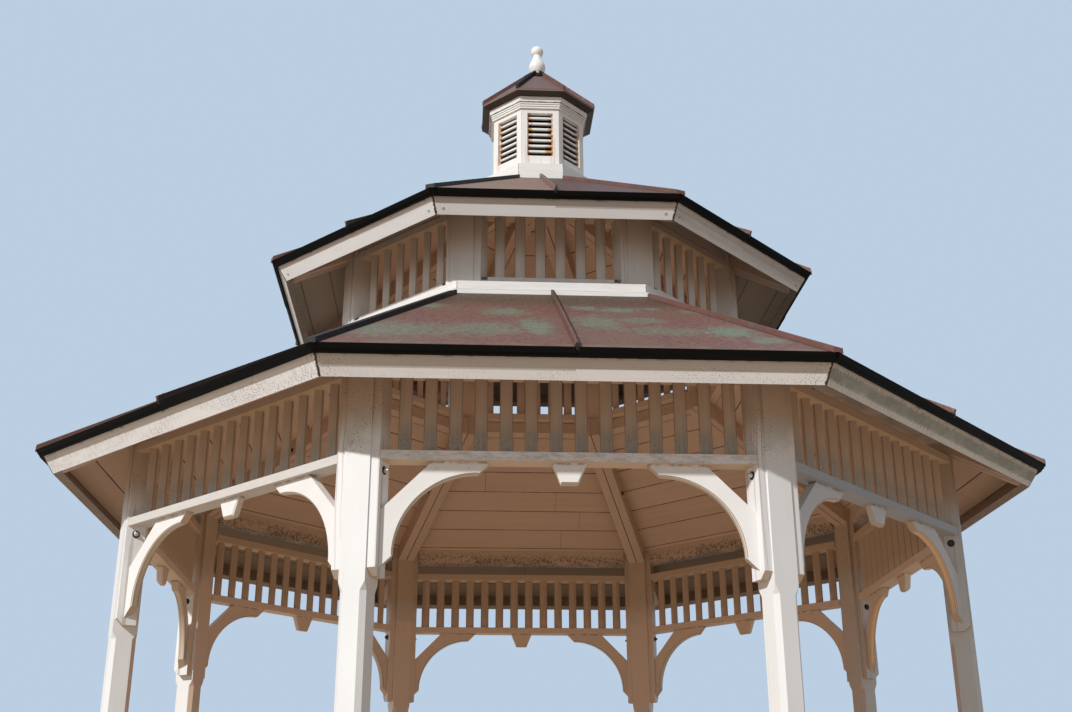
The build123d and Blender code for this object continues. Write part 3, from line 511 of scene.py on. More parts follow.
def fascia_paint(name, tier, reach_left, reach_right, worn):
    """White board square to the slope, streaked downwards, with a mildewed band and dirty mitres. Under the
    hems it carries their painted shadow, its depth set by their reach, which differs between the two halves
    of a bay. Its inner face is dark with painted shade."""
    f = Finish(name, 0.55)
    out, along, number = f.bays()
    colour, brush = white_coat(f, along, out, f.z, white=FASCIA_WHITE, worn=0.6)
    edge_z = tier.ridge - tier.fascia * SLOPE
    up = f.plus(f.times(f.minus(out, tier.fascia), math.sin(PITCH)),
                f.times(f.minus(f.z, edge_z), math.cos(PITCH)))
    left, right = f.is_bay(number, FRONT_LEFT_BAY), f.is_bay(number, FRONT_RIGHT_BAY)
    front = f.is_bay(number, FRONT_BAY)
    others = f.minus(1.0, f.most(left, right, front))
    drips = f.drawn(along, out, up, 120, 5, 14, 5, 0.7)
    patches = f.drawn(along, out, up, 2.6, 1, 12, 4, 0.6)
    front_end = f.times(front, f.rise(along, -0.98, -0.70, 0.35, 0.06))
    strength = f.plus(left, f.plus(f.times(right, 0.9), f.plus(front_end, f.times(others, 0.5))))
    reach = f.rise(along, -0.001, 0.001, reach_left, reach_right)
    drop, left_drop = 3.21, 2.12    # depth of the hems' painted shadow over their reach
    depth = f.times(reach, f.sum("MULTIPLY_ADD", left, left_drop - drop, drop))
    bay_share = f.most(front, f.times(left, 0.45), f.times(f.minus(1.0, left), 0.6))
    # painted shadow of the hems on the board's upper part
    shade_band = f.times(f.rise(f.plus(up, depth), 0.0, 0.004), bay_share, 0.62)
    colour = f.over(shade_band, colour, (0.40, 0.335, 0.26))
    band = f.between(up, -0.070, -0.034, 0.022)
    streaks = f.times(f.rise(drips, 0.47, 0.58), f.rise(patches, 0.38, 0.54), band, strength, 0.42 * worn)
    colour = f.over(streaks, colour, (0.47, 0.465, 0.45))
    fine = f.rise(f.cloud(f.vector(along, out, up), 200, 3, 0.75), 0.56, 0.64)
    specks = f.times(fine, f.rise(patches, 0.40, 0.62), f.between(up, -0.090, -0.03, 0.02),
                     f.most(strength, f.times(front, 0.6)), worn)
    colour = f.over(specks, colour, SPECK)
    cloudy = f.rise(f.drawn(along, out, up, 5, 1, 9, 5, 0.7), 0.30, 0.60, 0.55, 1.0)
    ragged_up = f.sum("MULTIPLY_ADD", f.minus(drips, 0.5), 0.075, up)
    colour = f.over(f.times(right, 0.45 * worn), colour, (0.40, 0.40, 0.33))
    green = f.times(right, f.between(ragged_up, -0.064, -0.020, 0.008), cloudy, 0.85 * worn)
    colour = f.over(green, colour, (0.21, 0.215, 0.165))
    from_mitre = f.to_hip(out, along)
    ragged = f.times(f.cloud(f.vector(along, out, up), 70, 3), 0.020)
    gap = f.rise(f.minus(from_mitre, ragged), -0.0065, -0.002, 1.0, 0.0)
    colour = f.over(gap, colour, DIRT_AND_SHADE)
    mould = f.times(fine, f.rise(from_mitre, 0.02, 0.16, 0.8, 0.0), worn)
    colour = f.over(mould, colour, SPECK)
    top = f.times(f.rise(up, -0.012, -0.002), f.rise(f.cloud(f.place, 16, 3), 0.5, 0.7), 0.6)
    colour = f.over(top, colour, DIRT_AND_SHADE)
    # dark painted shade on the inner face
    colour = f.over(f.times(f.indoors(), 0.8), colour, (0.26, 0.20, 0.145))
    inner_specks = f.times(f.indoors(), f.rise(f.cloud(f.place, 120, 3, 0.7), 0.46, 0.60), 0.6)
    colour = f.over(inner_specks, colour, SPECK)
    return f.finish(colour, height=brush, depth=0.0005)


def soffit_boards():
    """Painted boards under the roof, tan as warm painted shade, each row a little different, with mildew
    above the headers; greyer painted shade under the upper eave and darker beyond the back headers.
    """
    f = Finish("soffit_boards", 0.62)
    out, along, number = f.bays()
    rows = f.sum("DIVIDE", f.minus(out, BOARD_START), BOARD_PITCH)
    tone = f.chance(f.vector(f.sum("FLOOR", rows), number, 0.5))
    grain = f.drawn(along, out, f.z, 1.3, 34, 34, 4, 0.6, 0.3)
    # tan for the warm painted shade under the roof
    colour = f.over(f.rise(grain, 0.3, 0.7), SOFFIT_SHADE_TAN, (0.57, 0.415, 0.305))
    colour = f.over(f.times(tone, 0.35), colour, (0.70, 0.51, 0.385))
    broad = f.rise(f.cloud(f.place, 1.4, 3), 0.35, 0.7)
    colour = f.over(f.times(broad, 0.25), colour, (0.52, 0.375, 0.275))
    from_joint = f.size(f.minus(f.size(f.minus(f.sum("FRACT", rows), 0.5)), 0.5))
    joint = f.times(f.rise(from_joint, 0.012, 0.026, 1.0, 0.0),
                    f.rise(f.cloud(f.place, 9, 3), 0.25, 0.55, 0.45, 1.0), 0.85)
    colour = f.over(joint, colour, (0.10, 0.07, 0.05))
    # greyer painted shade under the upper eave
    upper_eave = f.times(f.rise(f.z, 3.8, 3.9), f.rise(out, 1.10, 1.12), 0.75)
    colour = f.over(upper_eave, colour, (0.44, 0.415, 0.35))
    at_back, lower = f.at_back(number), f.rise(f.z, 3.2, 3.3, 1.0, 0.0)
    # darker painted shade beyond the back headers and at the back of the upper eave
    behind = f.times(at_back, f.rise(out, 2.04, 2.07), lower, 0.8)
    colour = f.over(behind, colour, (0.22, 0.17, 0.12))
    colour = f.over(f.times(upper_eave, at_back), colour, (0.10, 0.075, 0.055))
    spots = f.rise(f.dots(f.place, 68), 0.16, 0.38, 1.0, 0.0)
    clumps = f.rise(f.cloud(f.place, 8, 7, 0.85), 0.47, 0.60)
    near = f.times(f.rise(out, 1.80, 1.99), f.rise(out, 2.04, 2.07, 1.0, 0.0))
    ends = f.rise(f.to_hip(out, along), 0.1, 0.5, 1.0, 0.35)
    share = f.sum("MULTIPLY_ADD", at_back, 0.45, 0.15)
    colour = f.over(f.times(spots, clumps, near, ends, lower, share), colour, DIRT_AND_SHADE)
    return f.finish(colour, height=grain, depth=0.0008)


def board_gaps():
    """The deck behind the soffit boards, seen only in their joints: dark with dust."""
    f = Finish("board_gaps", 0.8, gloss=0.1)
    dust = f.cloud(f.place, 25, 4, 0.6)
    return f.finish(f.over(f.rise(dust, 0.3, 0.7), (0.030, 0.022, 0.016), (0.060, 0.043, 0.030)), height=dust)


def rafter_paint():
    """Hip rafters: two planks of different tone, both tan as warm painted shade, dirt in the groove between
    them, mildew at the eave.
    """
    f = Finish("rafter_paint", 0.6)
    out, along, _ = f.bays(FRONT + HALF)
    grain = f.drawn(along, out, f.z, 60, 1.6, 40, 4, 0.6, 0.3)
    # tan for the warm painted shade under the roof
    colour = f.over(f.rise(grain, 0.3, 0.7), (0.62, 0.455, 0.345), (0.55, 0.40, 0.30))
    one_plank = f.rise(along, -0.002, 0.002)
    colour = f.over(f.times(one_plank, 0.25), colour, (0.68, 0.50, 0.375))
    groove = f.between(along, -0.0027, 0.0027, 0.0005)
    colour = f.over(f.times(groove, f.rise(f.upward(), -0.5, 0.1, 1.0, 0.2)), colour, DIRT_AND_SHADE)
    specks = f.times(mildew(f, f.place, 110, 0.35), f.rise(out, 1.9, 2.4), 0.6)
    colour = f.over(specks, colour, DIRT_AND_SHADE)
    return f.finish(colour, height=grain, depth=0.0008)


# Green patches on the front slope of the lower roof: along, out, half length, half depth, strength
PATINA = ((-0.72, 2.16, 0.34, 0.19, 0.75), (-0.37, 2.13, 0.24, 0.17, 0.70), (-0.595, 1.57, 0.09, 0.07, 0.9),
          (-0.25, 1.70, 0.13, 0.12, 0.95), (-0.13, 2.05, 0.085, 0.20, 1.0), (0.12, 1.56, 0.10, 0.07, 1.1),
          (0.27, 1.60, 0.12, 0.08, 1.1), (0.44, 1.55, 0.05, 0.05, 0.8), (0.14, 1.93, 0.13, 0.21, 0.85),
          (0.34, 1.86, 0.13, 0.10, 0.7), (0.40, 2.10, 0.22, 0.13, 0.6), (0.68, 2.09, 0.13, 0.15, 1.1),
          (0.80, 2.26, 0.10, 0.09, 0.9), (0.60, 1.62, 0.05, 0.05, 0.6))


def copper(name, fascia, patina, patches=(), sheets=0.0):
    """Dull red-brown copper: rain streaks down the slope, blotches, and green patina in ragged drifts, on the
    front slope at the given patches, with painted shadows beside the seams and along the hip caps. Sheets
    makes the front's left sheet paler, partly a painted sheen, and its right one duller."""
    f = Finish(name, 0.6, metal=0.05)
    out, along, number = f.bays()
    nz = f.upward()
    front = f.is_bay(number, FRONT_BAY)
    fine = f.cloud(f.place, 48, 6, 0.85)
    broad = f.drawn(along, out, number, 2.2, 3.4, 3, 6, 0.62)
    colour = f.over(f.rise(fine, 0.38, 0.62), (0.235, 0.108, 0.083), (0.115, 0.054, 0.043))
    colour = f.over(f.rise(broad, 0.40, 0.65, 0.0, 0.5), colour, (0.175, 0.115, 0.085))
    runs = f.drawn(along, out, number, 26, 1.6, 5, 4, 0.6)
    colour = f.over(f.rise(runs, 0.5, 0.8, 0.0, 0.35), colour, (0.115, 0.070, 0.055))
    ripple = f.drawn(along, out, number, 60, 34, 5, 3, 0.6)
    near_wall = f.rise(out, fascia - 1.08, fascia - 0.80, 1.0, 0.0)
    near_wall = f.times(near_wall, f.rise(ripple, 0.34, 0.52), 0.92)
    colour = f.over(near_wall, colour, (0.085, 0.060, 0.038))
    drift = f.drawn(along, out, number, 2.4, 5.2, 7, 7, 0.70, 0.5)
    green = f.times(f.rise(drift, 0.52, 0.64), f.between(out, fascia - 0.95, fascia - 0.22, 0.22), patina)
    if patches:
        ragged = f.drawn(along, out, number, 15, 12, 7, 8, 0.85, 0.6)
        ragged = f.sum("MULTIPLY_ADD", ragged, 3.6, -1.8)
        spots = []
        for middle, depth, wide, deep, strength in patches:
            a = f.sum("DIVIDE", f.minus(along, middle), wide)
            b = f.sum("DIVIDE", f.minus(out, depth), deep)
            inside = f.plus(f.minus(1.0, f.length(a, b)), ragged)
            spots.append(f.rise(inside, -0.10, 0.60, 0.0, strength))
        green = f.over(front, green, f.most(*spots))
    colour = f.over(f.times(green, f.rise(fine, 0.36, 0.56, 1.0, 0.40)), colour, (0.165, 0.250, 0.170))
    # paler left sheet on the front, partly a painted sheen
    pale = f.rise(along, -0.001, 0.001, sheets, 0.0)
    colour = f.over(f.times(pale, front), colour, (0.34, 0.235, 0.175))
    dull = f.rise(along, -0.001, 0.001, 0.0, 1.5 * sheets)
    colour = f.over(f.times(dull, front), colour, (0.060, 0.030, 0.028))
    edge = f.rise(f.cloud(f.place, 12, 4), 0.42, 0.66)
    edge = f.times(f.rise(out, fascia - 0.03, fascia), edge, 0.4 * patina)
    colour = f.over(edge, colour, (0.27, 0.24, 0.17))
    # painted shadow beside each standing seam, mostly on its right, and painted shade on the seam's right
    # side
    shade_lines = f.most(f.between(along, 0.0035, 0.0150, 0.002),
                   f.times(f.between(along, -0.0105, -0.0075, 0.001), 0.5))
    seam_shadow = f.times(shade_lines, f.rise(nz, 0.6, 0.8), 0.9)
    seam_shaded_side = f.times(f.rise(nz, 0.3, 0.5, 1.0, 0.0), f.rise(along, 0.0060, 0.0066),
                        f.rise(along, 0.0078, 0.0085, 1.0, 0.0), 0.8)
    colour = f.over(f.most(seam_shadow, seam_shaded_side), colour, SEAM_SHADOW)
    # painted shadow along each hip cap on the sheet beside it
    from_hip = f.times(f.to_hip(out, along), math.cos(HALF))
    colour = f.over(f.times(f.between(from_hip, 0.015, 0.030, 0.002), 0.9), colour, SEAM_SHADOW)
    return f.finish(colour, f.rise(fine, 0.2, 0.8, 0.5, 0.7), fine, 0.0010)


def hip_copper(name, patina):
    """Hip caps: the copper's browns with a little green, and the front left one black."""
    f = Finish(name, 0.6, metal=0.05)
    _, _, number = f.bays(FRONT + HALF)
    fine = f.cloud(f.place, 60, 5, 0.7)
    broad = f.cloud(f.place, 5, 4, 0.6)
    colour = f.over(f.rise(broad, 0.35, 0.65), (0.20, 0.092, 0.072), (0.145, 0.072, 0.058))
    colour = f.over(f.rise(fine, 0.4, 0.7, 0.0, 0.4), colour, (0.115, 0.062, 0.050))
    green = f.times(f.rise(broad, 0.56, 0.68), f.rise(fine, 0.35, 0.6), patina)
    colour = f.over(green, colour, (0.24, 0.33, 0.25))
    colour = f.over(f.times(f.is_bay(number, FRONT_LEFT_CORNER), 0.95), colour, (0.008, 0.007, 0.006))
    return f.finish(colour, f.rise(fine, 0.2, 0.8, 0.5, 0.7), fine, 0.0010)


def drip_metal():
    """Near-black edge strip with brownish dust drawn out along it."""
    f = Finish("drip_metal", 0.7, gloss=0.08)
    out, along, _ = f.bays()
    dust = f.drawn(along, out, f.z, 2.5, 20, 60, 5, 0.6)
    colour = f.over(f.rise(dust, 0.50, 0.78, 0.0, 0.5), (0.0045, 0.004, 0.003), (0.022, 0.018, 0.013))
    return f.finish(colour, f.rise(dust, 0.3, 0.8, 0.6, 0.8), dust, 0.0006)


def cupola_paint():
    """Cupola walls: mottled white, with rust running down beside the louvres and under them."""
    f = Finish("cupola_paint", 0.5)
    out, along, number = f.bays()
    colour, brush = white_coat(f, f.z, out, along, worn=0.35)
    mottle = f.rise(f.cloud(f.place, 40, 4, 0.6), 0.35, 0.75)
    colour = f.over(f.times(mottle, 0.22), colour, (0.70, 0.62, 0.55))
    beside = f.between(f.size(along), 0.066, 0.088, 0.006)
    sides = f.most(f.is_bay(number, FRONT_BAY), f.times(f.rise(along, 0.0, 0.01, 1.0, 0.25), 0.9))
    runs = f.drawn(along, out, f.z, 70, 6, 7, 4, 0.6)
    rust = f.times(beside, sides, f.rise(runs, 0.38, 0.62), f.between(f.z, 4.66, 4.98, 0.10), 0.30)
    colour = f.over(rust, colour, RUST)
    under = f.times(f.rise(runs, 0.45, 0.7), f.between(f.z, 4.745, 4.83, 0.03),
                    f.rise(f.size(along), 0.070, 0.085, 1.0, 0.0), 0.20)
    colour = f.over(under, colour, (0.70, 0.36, 0.16))
    return f.finish(colour, height=brush, depth=0.0005)


def louvre_paint():
    """Slats with rusty ends, dark inside and below as painted shade. On the front the low ones' right ends
    are all rust.
    """
    f = Finish("louvre_paint", 0.5)
    out, along, number = f.bays()
    colour, brush = white_coat(f, along, out, f.z, worn=0.35)
    ends = f.rise(f.size(along), 0.038, 0.060)
    left_only = f.is_bay(number, FRONT_LEFT_BAY)
    side = f.most(f.minus(1.0, left_only), f.rise(along, -0.01, 0.0, 1.0, 0.0))
    drift = f.rise(f.cloud(f.place, 46, 4, 0.6), 0.38, 0.56)
    colour = f.over(f.times(ends, side, drift, 0.92), colour, RUST)
    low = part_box("cupola_louvres")[0][2]
    low_right = f.times(f.is_bay(number, FRONT_BAY), f.rise(along, 0.020, 0.044),
                        f.rise(f.z, low + 0.062, low + 0.072, 1.0, 0.0))
    colour = f.over(f.times(low_right, 0.85), colour, RUST)
    # dark painted shade inside the cupola
    inside = f.rise(out, 0.238, 0.256, 1.0, 0.0)
    colour = f.over(inside, colour, (0.02, 0.018, 0.016))
    # dark painted shade on the slats' undersides
    colour = f.over(f.rise(f.upward(), -0.90, -0.62, 0.8, 0.0), colour, (0.05, 0.042, 0.036))
    return f.finish(colour, height=brush, depth=0.0004)


def cornice_paint():
    """Mouldings under the cupola's eave, with painted shade in their inner corners and along the ledge
    above the third.
    """
    f = Finish("cornice_paint", 0.5)
    out, along, _ = f.bays()
    colour, brush = white_coat(f, along, out, f.z, worn=0.25)
    low, step_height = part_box("cupola_cornice")[0][2], 0.0127
    ledge_height = low + 3 * step_height
    step = f.sum("FRACT", f.sum("DIVIDE", f.minus(f.z, low), step_height))
    below_ledge = f.rise(f.z, ledge_height + 0.0004, ledge_height + 0.0009, 1.0, 0.0)
    # painted shade in the inner corner under each step
    colour = f.over(f.times(f.rise(step, 0.80, 0.97), below_ledge, 0.45), colour, (0.23, 0.18, 0.14))
    # patchy painted shade line along the ledge
    ledge = f.times(f.between(f.z, ledge_height - 0.0021, ledge_height + 0.0019, 0.002),
                    f.rise(f.cloud(f.place, 30, 3), 0.4, 0.6), 0.6)
    colour = f.over(ledge, colour, DIRT_AND_SHADE)
    return f.finish(colour, height=brush, depth=0.0004)


def cupola_copper():
    """Brown cupola roof with a pale lip, painted shade underneath, and black round the foot of the finial."""
    f = Finish("cupola_copper", 0.6, metal=0.05)
    fine = f.cloud(f.place, 70, 5, 0.7)
    colour = f.over(f.rise(fine, 0.3, 0.7), (0.185, 0.100, 0.088), (0.125, 0.070, 0.062))
    nz = f.upward()
    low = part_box("cupola_roof")[0][2] + 0.017
    lip = f.times(f.between(f.z, low + 0.001, low + 0.005, 0.001), f.rise(nz, -0.3, 0.3))
    colour = f.over(f.times(lip, 0.9), colour, (0.42, 0.33, 0.24))
    edge = f.times(f.rise(f.z, low + 0.014, low + 0.018, 1.0, 0.0), f.rise(nz, 0.2, 0.6, 1.0, 0.0), 0.55)
    colour = f.over(edge, colour, (0.16, 0.12, 0.09))
    # dark painted shade on the faces that look down
    soffit = f.rise(nz, -0.2, 0.0, 1.0, 0.0)
    colour = f.over(soffit, colour, (0.055, 0.038, 0.03))
    collar = f.rise(f.length(f.x, f.y), COLLAR_RADIUS, COLLAR_RADIUS + 0.005, 1.0, 0.0)
    colour = f.over(collar, colour, (0.010, 0.009, 0.009))
    return f.finish(colour, f.rise(fine, 0.2, 0.8, 0.42, 0.62), fine, 0.0008)


def cap_metal():
    """Black cap at the top. The rolls are brown below it, apart from the black front left one."""
    f = Finish("cap_metal", 0.66, gloss=0.10)
    fine = f.cloud(f.place, 60, 5, 0.65)
    out, _, number = f.bays(FRONT + HALF)
    brown = f.over(f.rise(fine, 0.3, 0.7), (0.20, 0.105, 0.09), (0.13, 0.075, 0.065))
    black = f.over(f.rise(fine, 0.35, 0.75), (0.008, 0.008, 0.009), (0.018, 0.016, 0.015))
    collar = f.rise(out, COLLAR_RADIUS + 0.001, COLLAR_RADIUS + 0.006, 1.0, 0.0)
    share = f.most(collar, f.is_bay(number, FRONT_LEFT_CORNER))
    return f.finish(f.over(share, brown, black), f.rise(fine, 0.2, 0.8, 0.5, 0.7), fine, 0.0006)


def sill_paint(name="sill_paint"):
    """Stepped sill and skirt: white, dust in level streaks, a painted shadow line at the lip, dirty mitres.
    """
    f = Finish(name, 0.5)
    out, along, _ = f.bays()
    colour, brush = white_coat(f, along, out, f.z)
    dust = f.times(f.rise(f.drawn(along, out, f.z, 6, 30, 60, 4), 0.45, 0.75), 0.28)
    colour = f.over(dust, colour, (0.60, 0.55, 0.47))
    # painted shadow line at the lip
    lip = f.times(f.between(f.z, SILL_LIP - 0.002, SILL_LIP + 0.002, 0.0012), f.rise(out, 1.146, 1.149), 0.6)
    colour = f.over(lip, colour, (0.25, 0.20, 0.155))
    ragged = f.times(f.cloud(f.place, 80, 3), 0.010)
    colour = f.over(f.rise(f.minus(f.to_hip(out, along), ragged), -0.005, -0.002, 0.9, 0.0), colour, DIRT_AND_SHADE)
    return f.finish(colour, height=brush, depth=0.0005)


def finial_paint():
    """Turned finial: glossier white with fine rings and a few grey blotches."""
    f = Finish("finial_paint", 0.42, gloss=0.45)
    rings = f.drawn(f.x, f.y, f.z, 4, 4, 120, 3)
    colour = f.over(f.rise(rings, 0.45, 0.75, 0.0, 0.4), (0.85, 0.85, 0.845), (0.78, 0.765, 0.73))
    colour = f.over(f.rise(f.cloud(f.place, 30, 4), 0.60, 0.74, 0.0, 0.35), colour, (0.42, 0.38, 0.32))
    return f.finish(colour, height=rings, depth=0.0005)


def zinc():
    """Bolt ends and nuts: zinc at the front and the front left, dark as painted shade on the right and
    behind.
    """
    f = Finish("zinc", 0.38, metal=0.75, gloss=0.5)
    spots = f.cloud(f.place, 400, 3)
    colour = f.over(f.rise(spots, 0.35, 0.7), (0.66, 0.65, 0.62), (0.50, 0.48, 0.45))
    # dark painted shade on the bolts to the right and behind
    shaded_side = f.most(f.rise(f.x, 1.1, 1.3), f.rise(f.y, -0.6, -0.4))
    colour = f.over(f.times(shaded_side, 0.95), colour, (0.030, 0.022, 0.016))
    return f.finish(colour, f.rise(spots, 0.3, 0.7, 0.3, 0.5), spots, 0.0003)


def filler():
    """Greyed filler over the screws of the upper fascia."""
    f = Finish("filler", 0.7)
    spots = f.cloud(f.place, 300, 3)
    colour = f.over(f.rise(spots, 0.35, 0.7), (0.56, 0.515, 0.46), (0.36, 0.32, 0.27))
    return f.finish(colour, height=spots, depth=0.0003)


def rust_black():
    """Washers and seam feet: black sheet with a little rust."""
    f = Finish("rust_black", 0.6, metal=0.2, gloss=0.4)
    spots = f.cloud(f.place, 260, 4)
    colour = f.over(f.rise(spots, 0.45, 0.75), (0.012, 0.010, 0.009), (0.055, 0.032, 0.020))
    return f.finish(colour, height=spots, depth=0.0004)


POSTS_FINISH, STRIPS_FINISH, FRIEZE_FINISH = post_paint(), strip_paint(), frieze_paint()
LOWER_FASCIA_FINISH = fascia_paint("lower_fascia_paint", LOWER, worn=1.0,
                                   reach_left=0.0178, reach_right=0.0154)
UPPER_FASCIA_FINISH = fascia_paint("upper_fascia_paint", UPPER, worn=0.35,
                                   reach_left=0.0109, reach_right=0.0139)
BOARDS_FINISH, RAFTERS_FINISH = soffit_boards(), rafter_paint()
LOWER_COPPER = copper("lower_copper", LOWER.fascia, patina=0.85, patches=PATINA)
UPPER_COPPER = copper("upper_copper", UPPER.fascia, patina=0.30, sheets=0.38)
DRIP_FINISH, ZINC, BLACK, PLUGS = drip_metal(), zinc(), rust_black(), filler()

finishes = {
    "post_side_strips": STRIPS_FINISH, "lantern_post_strips": STRIPS_FINISH, "lantern_posts": POSTS_FINISH,
    "lantern_friezes": FRIEZE_FINISH, "knee_brackets": bracket_paint(), "centre_pendants": bracket_paint(),
    "wall_headers": header_paint(), "lantern_headers": header_paint(),
    "lower_hip_rafters": RAFTERS_FINISH, "upper_hip_rafters": RAFTERS_FINISH, "rafter_hub": RAFTERS_FINISH,
    "lower_roof_deck": board_gaps(), "upper_roof_deck": board_gaps(),
    "lower_fascia": LOWER_FASCIA_FINISH, "upper_fascia": UPPER_FASCIA_FINISH,
    "lower_drip_edge": DRIP_FINISH, "upper_drip_edge": DRIP_FINISH,
    "lower_copper": LOWER_COPPER, "upper_copper": UPPER_COPPER,
    "lower_hip_caps": hip_copper("lower_hip_copper", patina=0.35),
    "upper_hip_caps": hip_copper("upper_hip_copper", patina=0.15),
    "lantern_curb": header_paint(), "lantern_sill": sill_paint(), "cupola_skirt": sill_paint("skirt_paint"),
    "cupola_walls": cupola_paint(), "cupola_louvres": louvre_paint(), "cupola_cornice": cornice_paint(),
    "cupola_roof": cupola_copper(), "cupola_cap": cap_metal(), "finial": finial_paint(),
}
for bay, side in enumerate("front front_right right back_right back back_left left front_left".split()):
    finishes["frieze_" + side] = frieze_paint(bay)
for name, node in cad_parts.items():
    node.data.materials.clear()
    node.data.materials.append(finishes.get(name, POSTS_FINISH))


# Soffit boards under both decks, each a thin strip with eased long edges

def boards(name, tier, seed):
    """Rows of boards: a six-point section across the slope, carried along the row between two ends. The ends
    are at the hips and at one butt joint drawn at random."""
    gap, ease, thick, into_deck = 0.0012, 0.0018, 0.0040, 0.0015
    butt_gap, hip_gap = 0.0010, 0.012
    behind_fascia, narrowest = 0.034, 0.02
    first_row = math.floor((tier.hole - BOARD_START) / BOARD_PITCH)
    last_row = math.ceil((tier.fascia - BOARD_START) / BOARD_PITCH)
    rows = np.arange(first_row, last_row)
    low = np.clip(BOARD_START + rows * BOARD_PITCH, tier.hole, tier.fascia - behind_fascia)
    high = np.clip(BOARD_START + (rows + 1) * BOARD_PITCH, tier.hole, tier.fascia - behind_fascia)
    keep = high - low > narrowest
    low, high = low[keep], high[keep]
    share = np.array([0.0, 0.0, 0.0, 1.0, 1.0, 1.0])
    inset = np.array([gap, gap, gap + ease, -gap - ease, -gap, -gap])
    above = np.array([into_deck, ease - thick, -thick, -thick, ease - thick, into_deck])
    out = low[:, None] * (1 - share) + high[:, None] * share + inset
    up = tier.ridge - out * SLOPE + above / math.cos(PITCH)
    random = np.random.default_rng(seed)
    rings = []
    for angle in BAYS:
        joint = low * math.tan(HALF) * random.uniform(-0.6, 0.6, len(low))
        hip = out * math.tan(HALF) - hip_gap
        for first, last in ((-hip, joint[:, None] - butt_gap), (joint[:, None] + butt_gap, hip)):
            ends = np.stack([np.broadcast_to(first, out.shape), np.broadcast_to(last, out.shape)], axis=1)
            rings.append(in_bay(angle, out[:, None] + 0 * ends, ends, up[:, None] + 0 * ends))
    lofted(name, np.concatenate(rings), BOARDS_FINISH)


boards("lower_soffit_boards", LOWER, seed=11)
boards("upper_soffit_boards", UPPER, seed=12)


# Folded hems of the copper over the dark edge, one sheet of each slope a little further out than the other

def hems(name, tier, proud_left, proud_right):
    """A narrow folded strip along each half eave: a six-point section carried from the seam to the hip."""
    sheet, seam_gap, hip_gap = 0.0004, 0.0045, 0.004
    foot, bend, top = 0.0180, 0.0395, 0.0425
    lap, lap_top = 0.0026, 0.0434   # the hem's upper lip, which laps onto the copper
    rings = []
    for side, proud in ((-1, proud_left), (1, proud_right)):
        inward = sheet - tier.edge - np.array([0.0, proud, proud + sheet, proud + sheet, 0.0, -lap])
        above = np.array([top, top, bend, foot, foot, lap_top])
        out, up = on_slope(tier, inward, above)
        reach = out * math.tan(HALF) - hip_gap
        ends = np.stack([np.full(len(out), seam_gap) * side, reach * side])
        for angle in BAYS:
            rings.append(in_bay(angle, out[None], ends, up[None]))
    lofted(name, np.stack(rings), DRIP_FINISH)


hems("lower_eave_hems", LOWER, proud_left=0.0030, proud_right=0.0006)
hems("upper_eave_hems", UPPER, proud_left=0.0006, proud_right=0.0036)


def seam_ears(name, tier):
    """The folded foot of each standing seam: a four-point section carried along the slope, lower and a little
    wider outwards."""
    inward = np.array([-0.0015, 0.009, 0.045]) - tier.edge
    half_width = np.array([0.0110, 0.0105, 0.0088])
    foot, top = 0.0300, np.array([0.046, 0.066, 0.0695])
    top_share = 0.45                # half width at the top over that at the foot
    rings = []
    for angle in BAYS:
        stations = []
        for station, half, high in zip(inward, half_width, top):
            out, up = on_slope(tier, station, np.array([foot, foot, high, high]))
            stations.append(in_bay(angle, out, half * np.array([-1, 1, top_share, -top_share]), up))
        rings.append(stations)
    lofted(name, np.array(rings), BLACK)


seam_ears("lower_seam_ears", LOWER)
seam_ears("upper_seam_ears", UPPER)


# Bolts through the posts and their side boards and through the hip rafters, and the fascias' nails and plugs

def bolts(name, side, out, up, length, washer, shank):
    """Washers, nuts and bolt ends at every corner, on both faces at this offset from its middle plane."""
    centres = np.concatenate([in_bay(angle, out, offset, up)
                              for offset in (side, -side) for angle in CORNERS])
    across = np.stack([-np.sin(CORNERS), np.cos(CORNERS), 0 * CORNERS], axis=1)
    axes = np.concatenate([across, -across])
    turned(name + "_washers", centres, axes, [(-0.002, washer), (0.0028, washer), (0.0034, washer * 0.93)],
           BLACK, sides=20)
    turned(name + "_nuts", centres, axes, [(0.002, 0.0120), (0.0105, 0.0120), (0.0118, 0.0100)],
           ZINC, sides=6)
    turned(name + "_ends", centres, axes, [(0.010, shank), (length - 0.002, shank), (length, shank * 0.8)],
           ZINC, sides=12)


bolts("post_bolts", side=STRIP_SIDE, out=2.1785, up=2.362, length=0.020, washer=0.0175, shank=0.0066)
bolts("rafter_bolts", side=0.0565, out=1.567, up=3.248, length=0.012, washer=0.0140, shank=0.0060)


def nail_heads(name, tier, insets, heights, radius, finish):
    """Small flat heads standing 0.7 mm proud of every fascia board's outer face, set in from both mitres."""
    places, ways = [], []
    for height in heights:
        out, up = on_slope(tier, 0.0, height)
        for inset in insets:
            for side in (-1, 1):
                along = side * (out * math.tan(HALF) - inset)
                for angle in BAYS:
                    places.append(in_bay(angle, out, along, up))
                    ways.append(in_bay(angle, math.cos(PITCH), 0.0, -math.sin(PITCH)))
    turned(name, np.concatenate(places), np.concatenate(ways),
           [(-0.001, radius), (0.0004, radius), (0.0007, radius * 0.8)], finish, sides=8)


nail_heads("lower_fascia_nails", LOWER, insets=(0.045, 0.60), heights=(-0.022, -0.066), radius=0.0034,
           finish=LOWER_FASCIA_FINISH)
nail_heads("upper_fascia_plugs", UPPER, insets=(0.042,), heights=(-0.060,), radius=0.0085, finish=PLUGS)


# Floor, light and camera

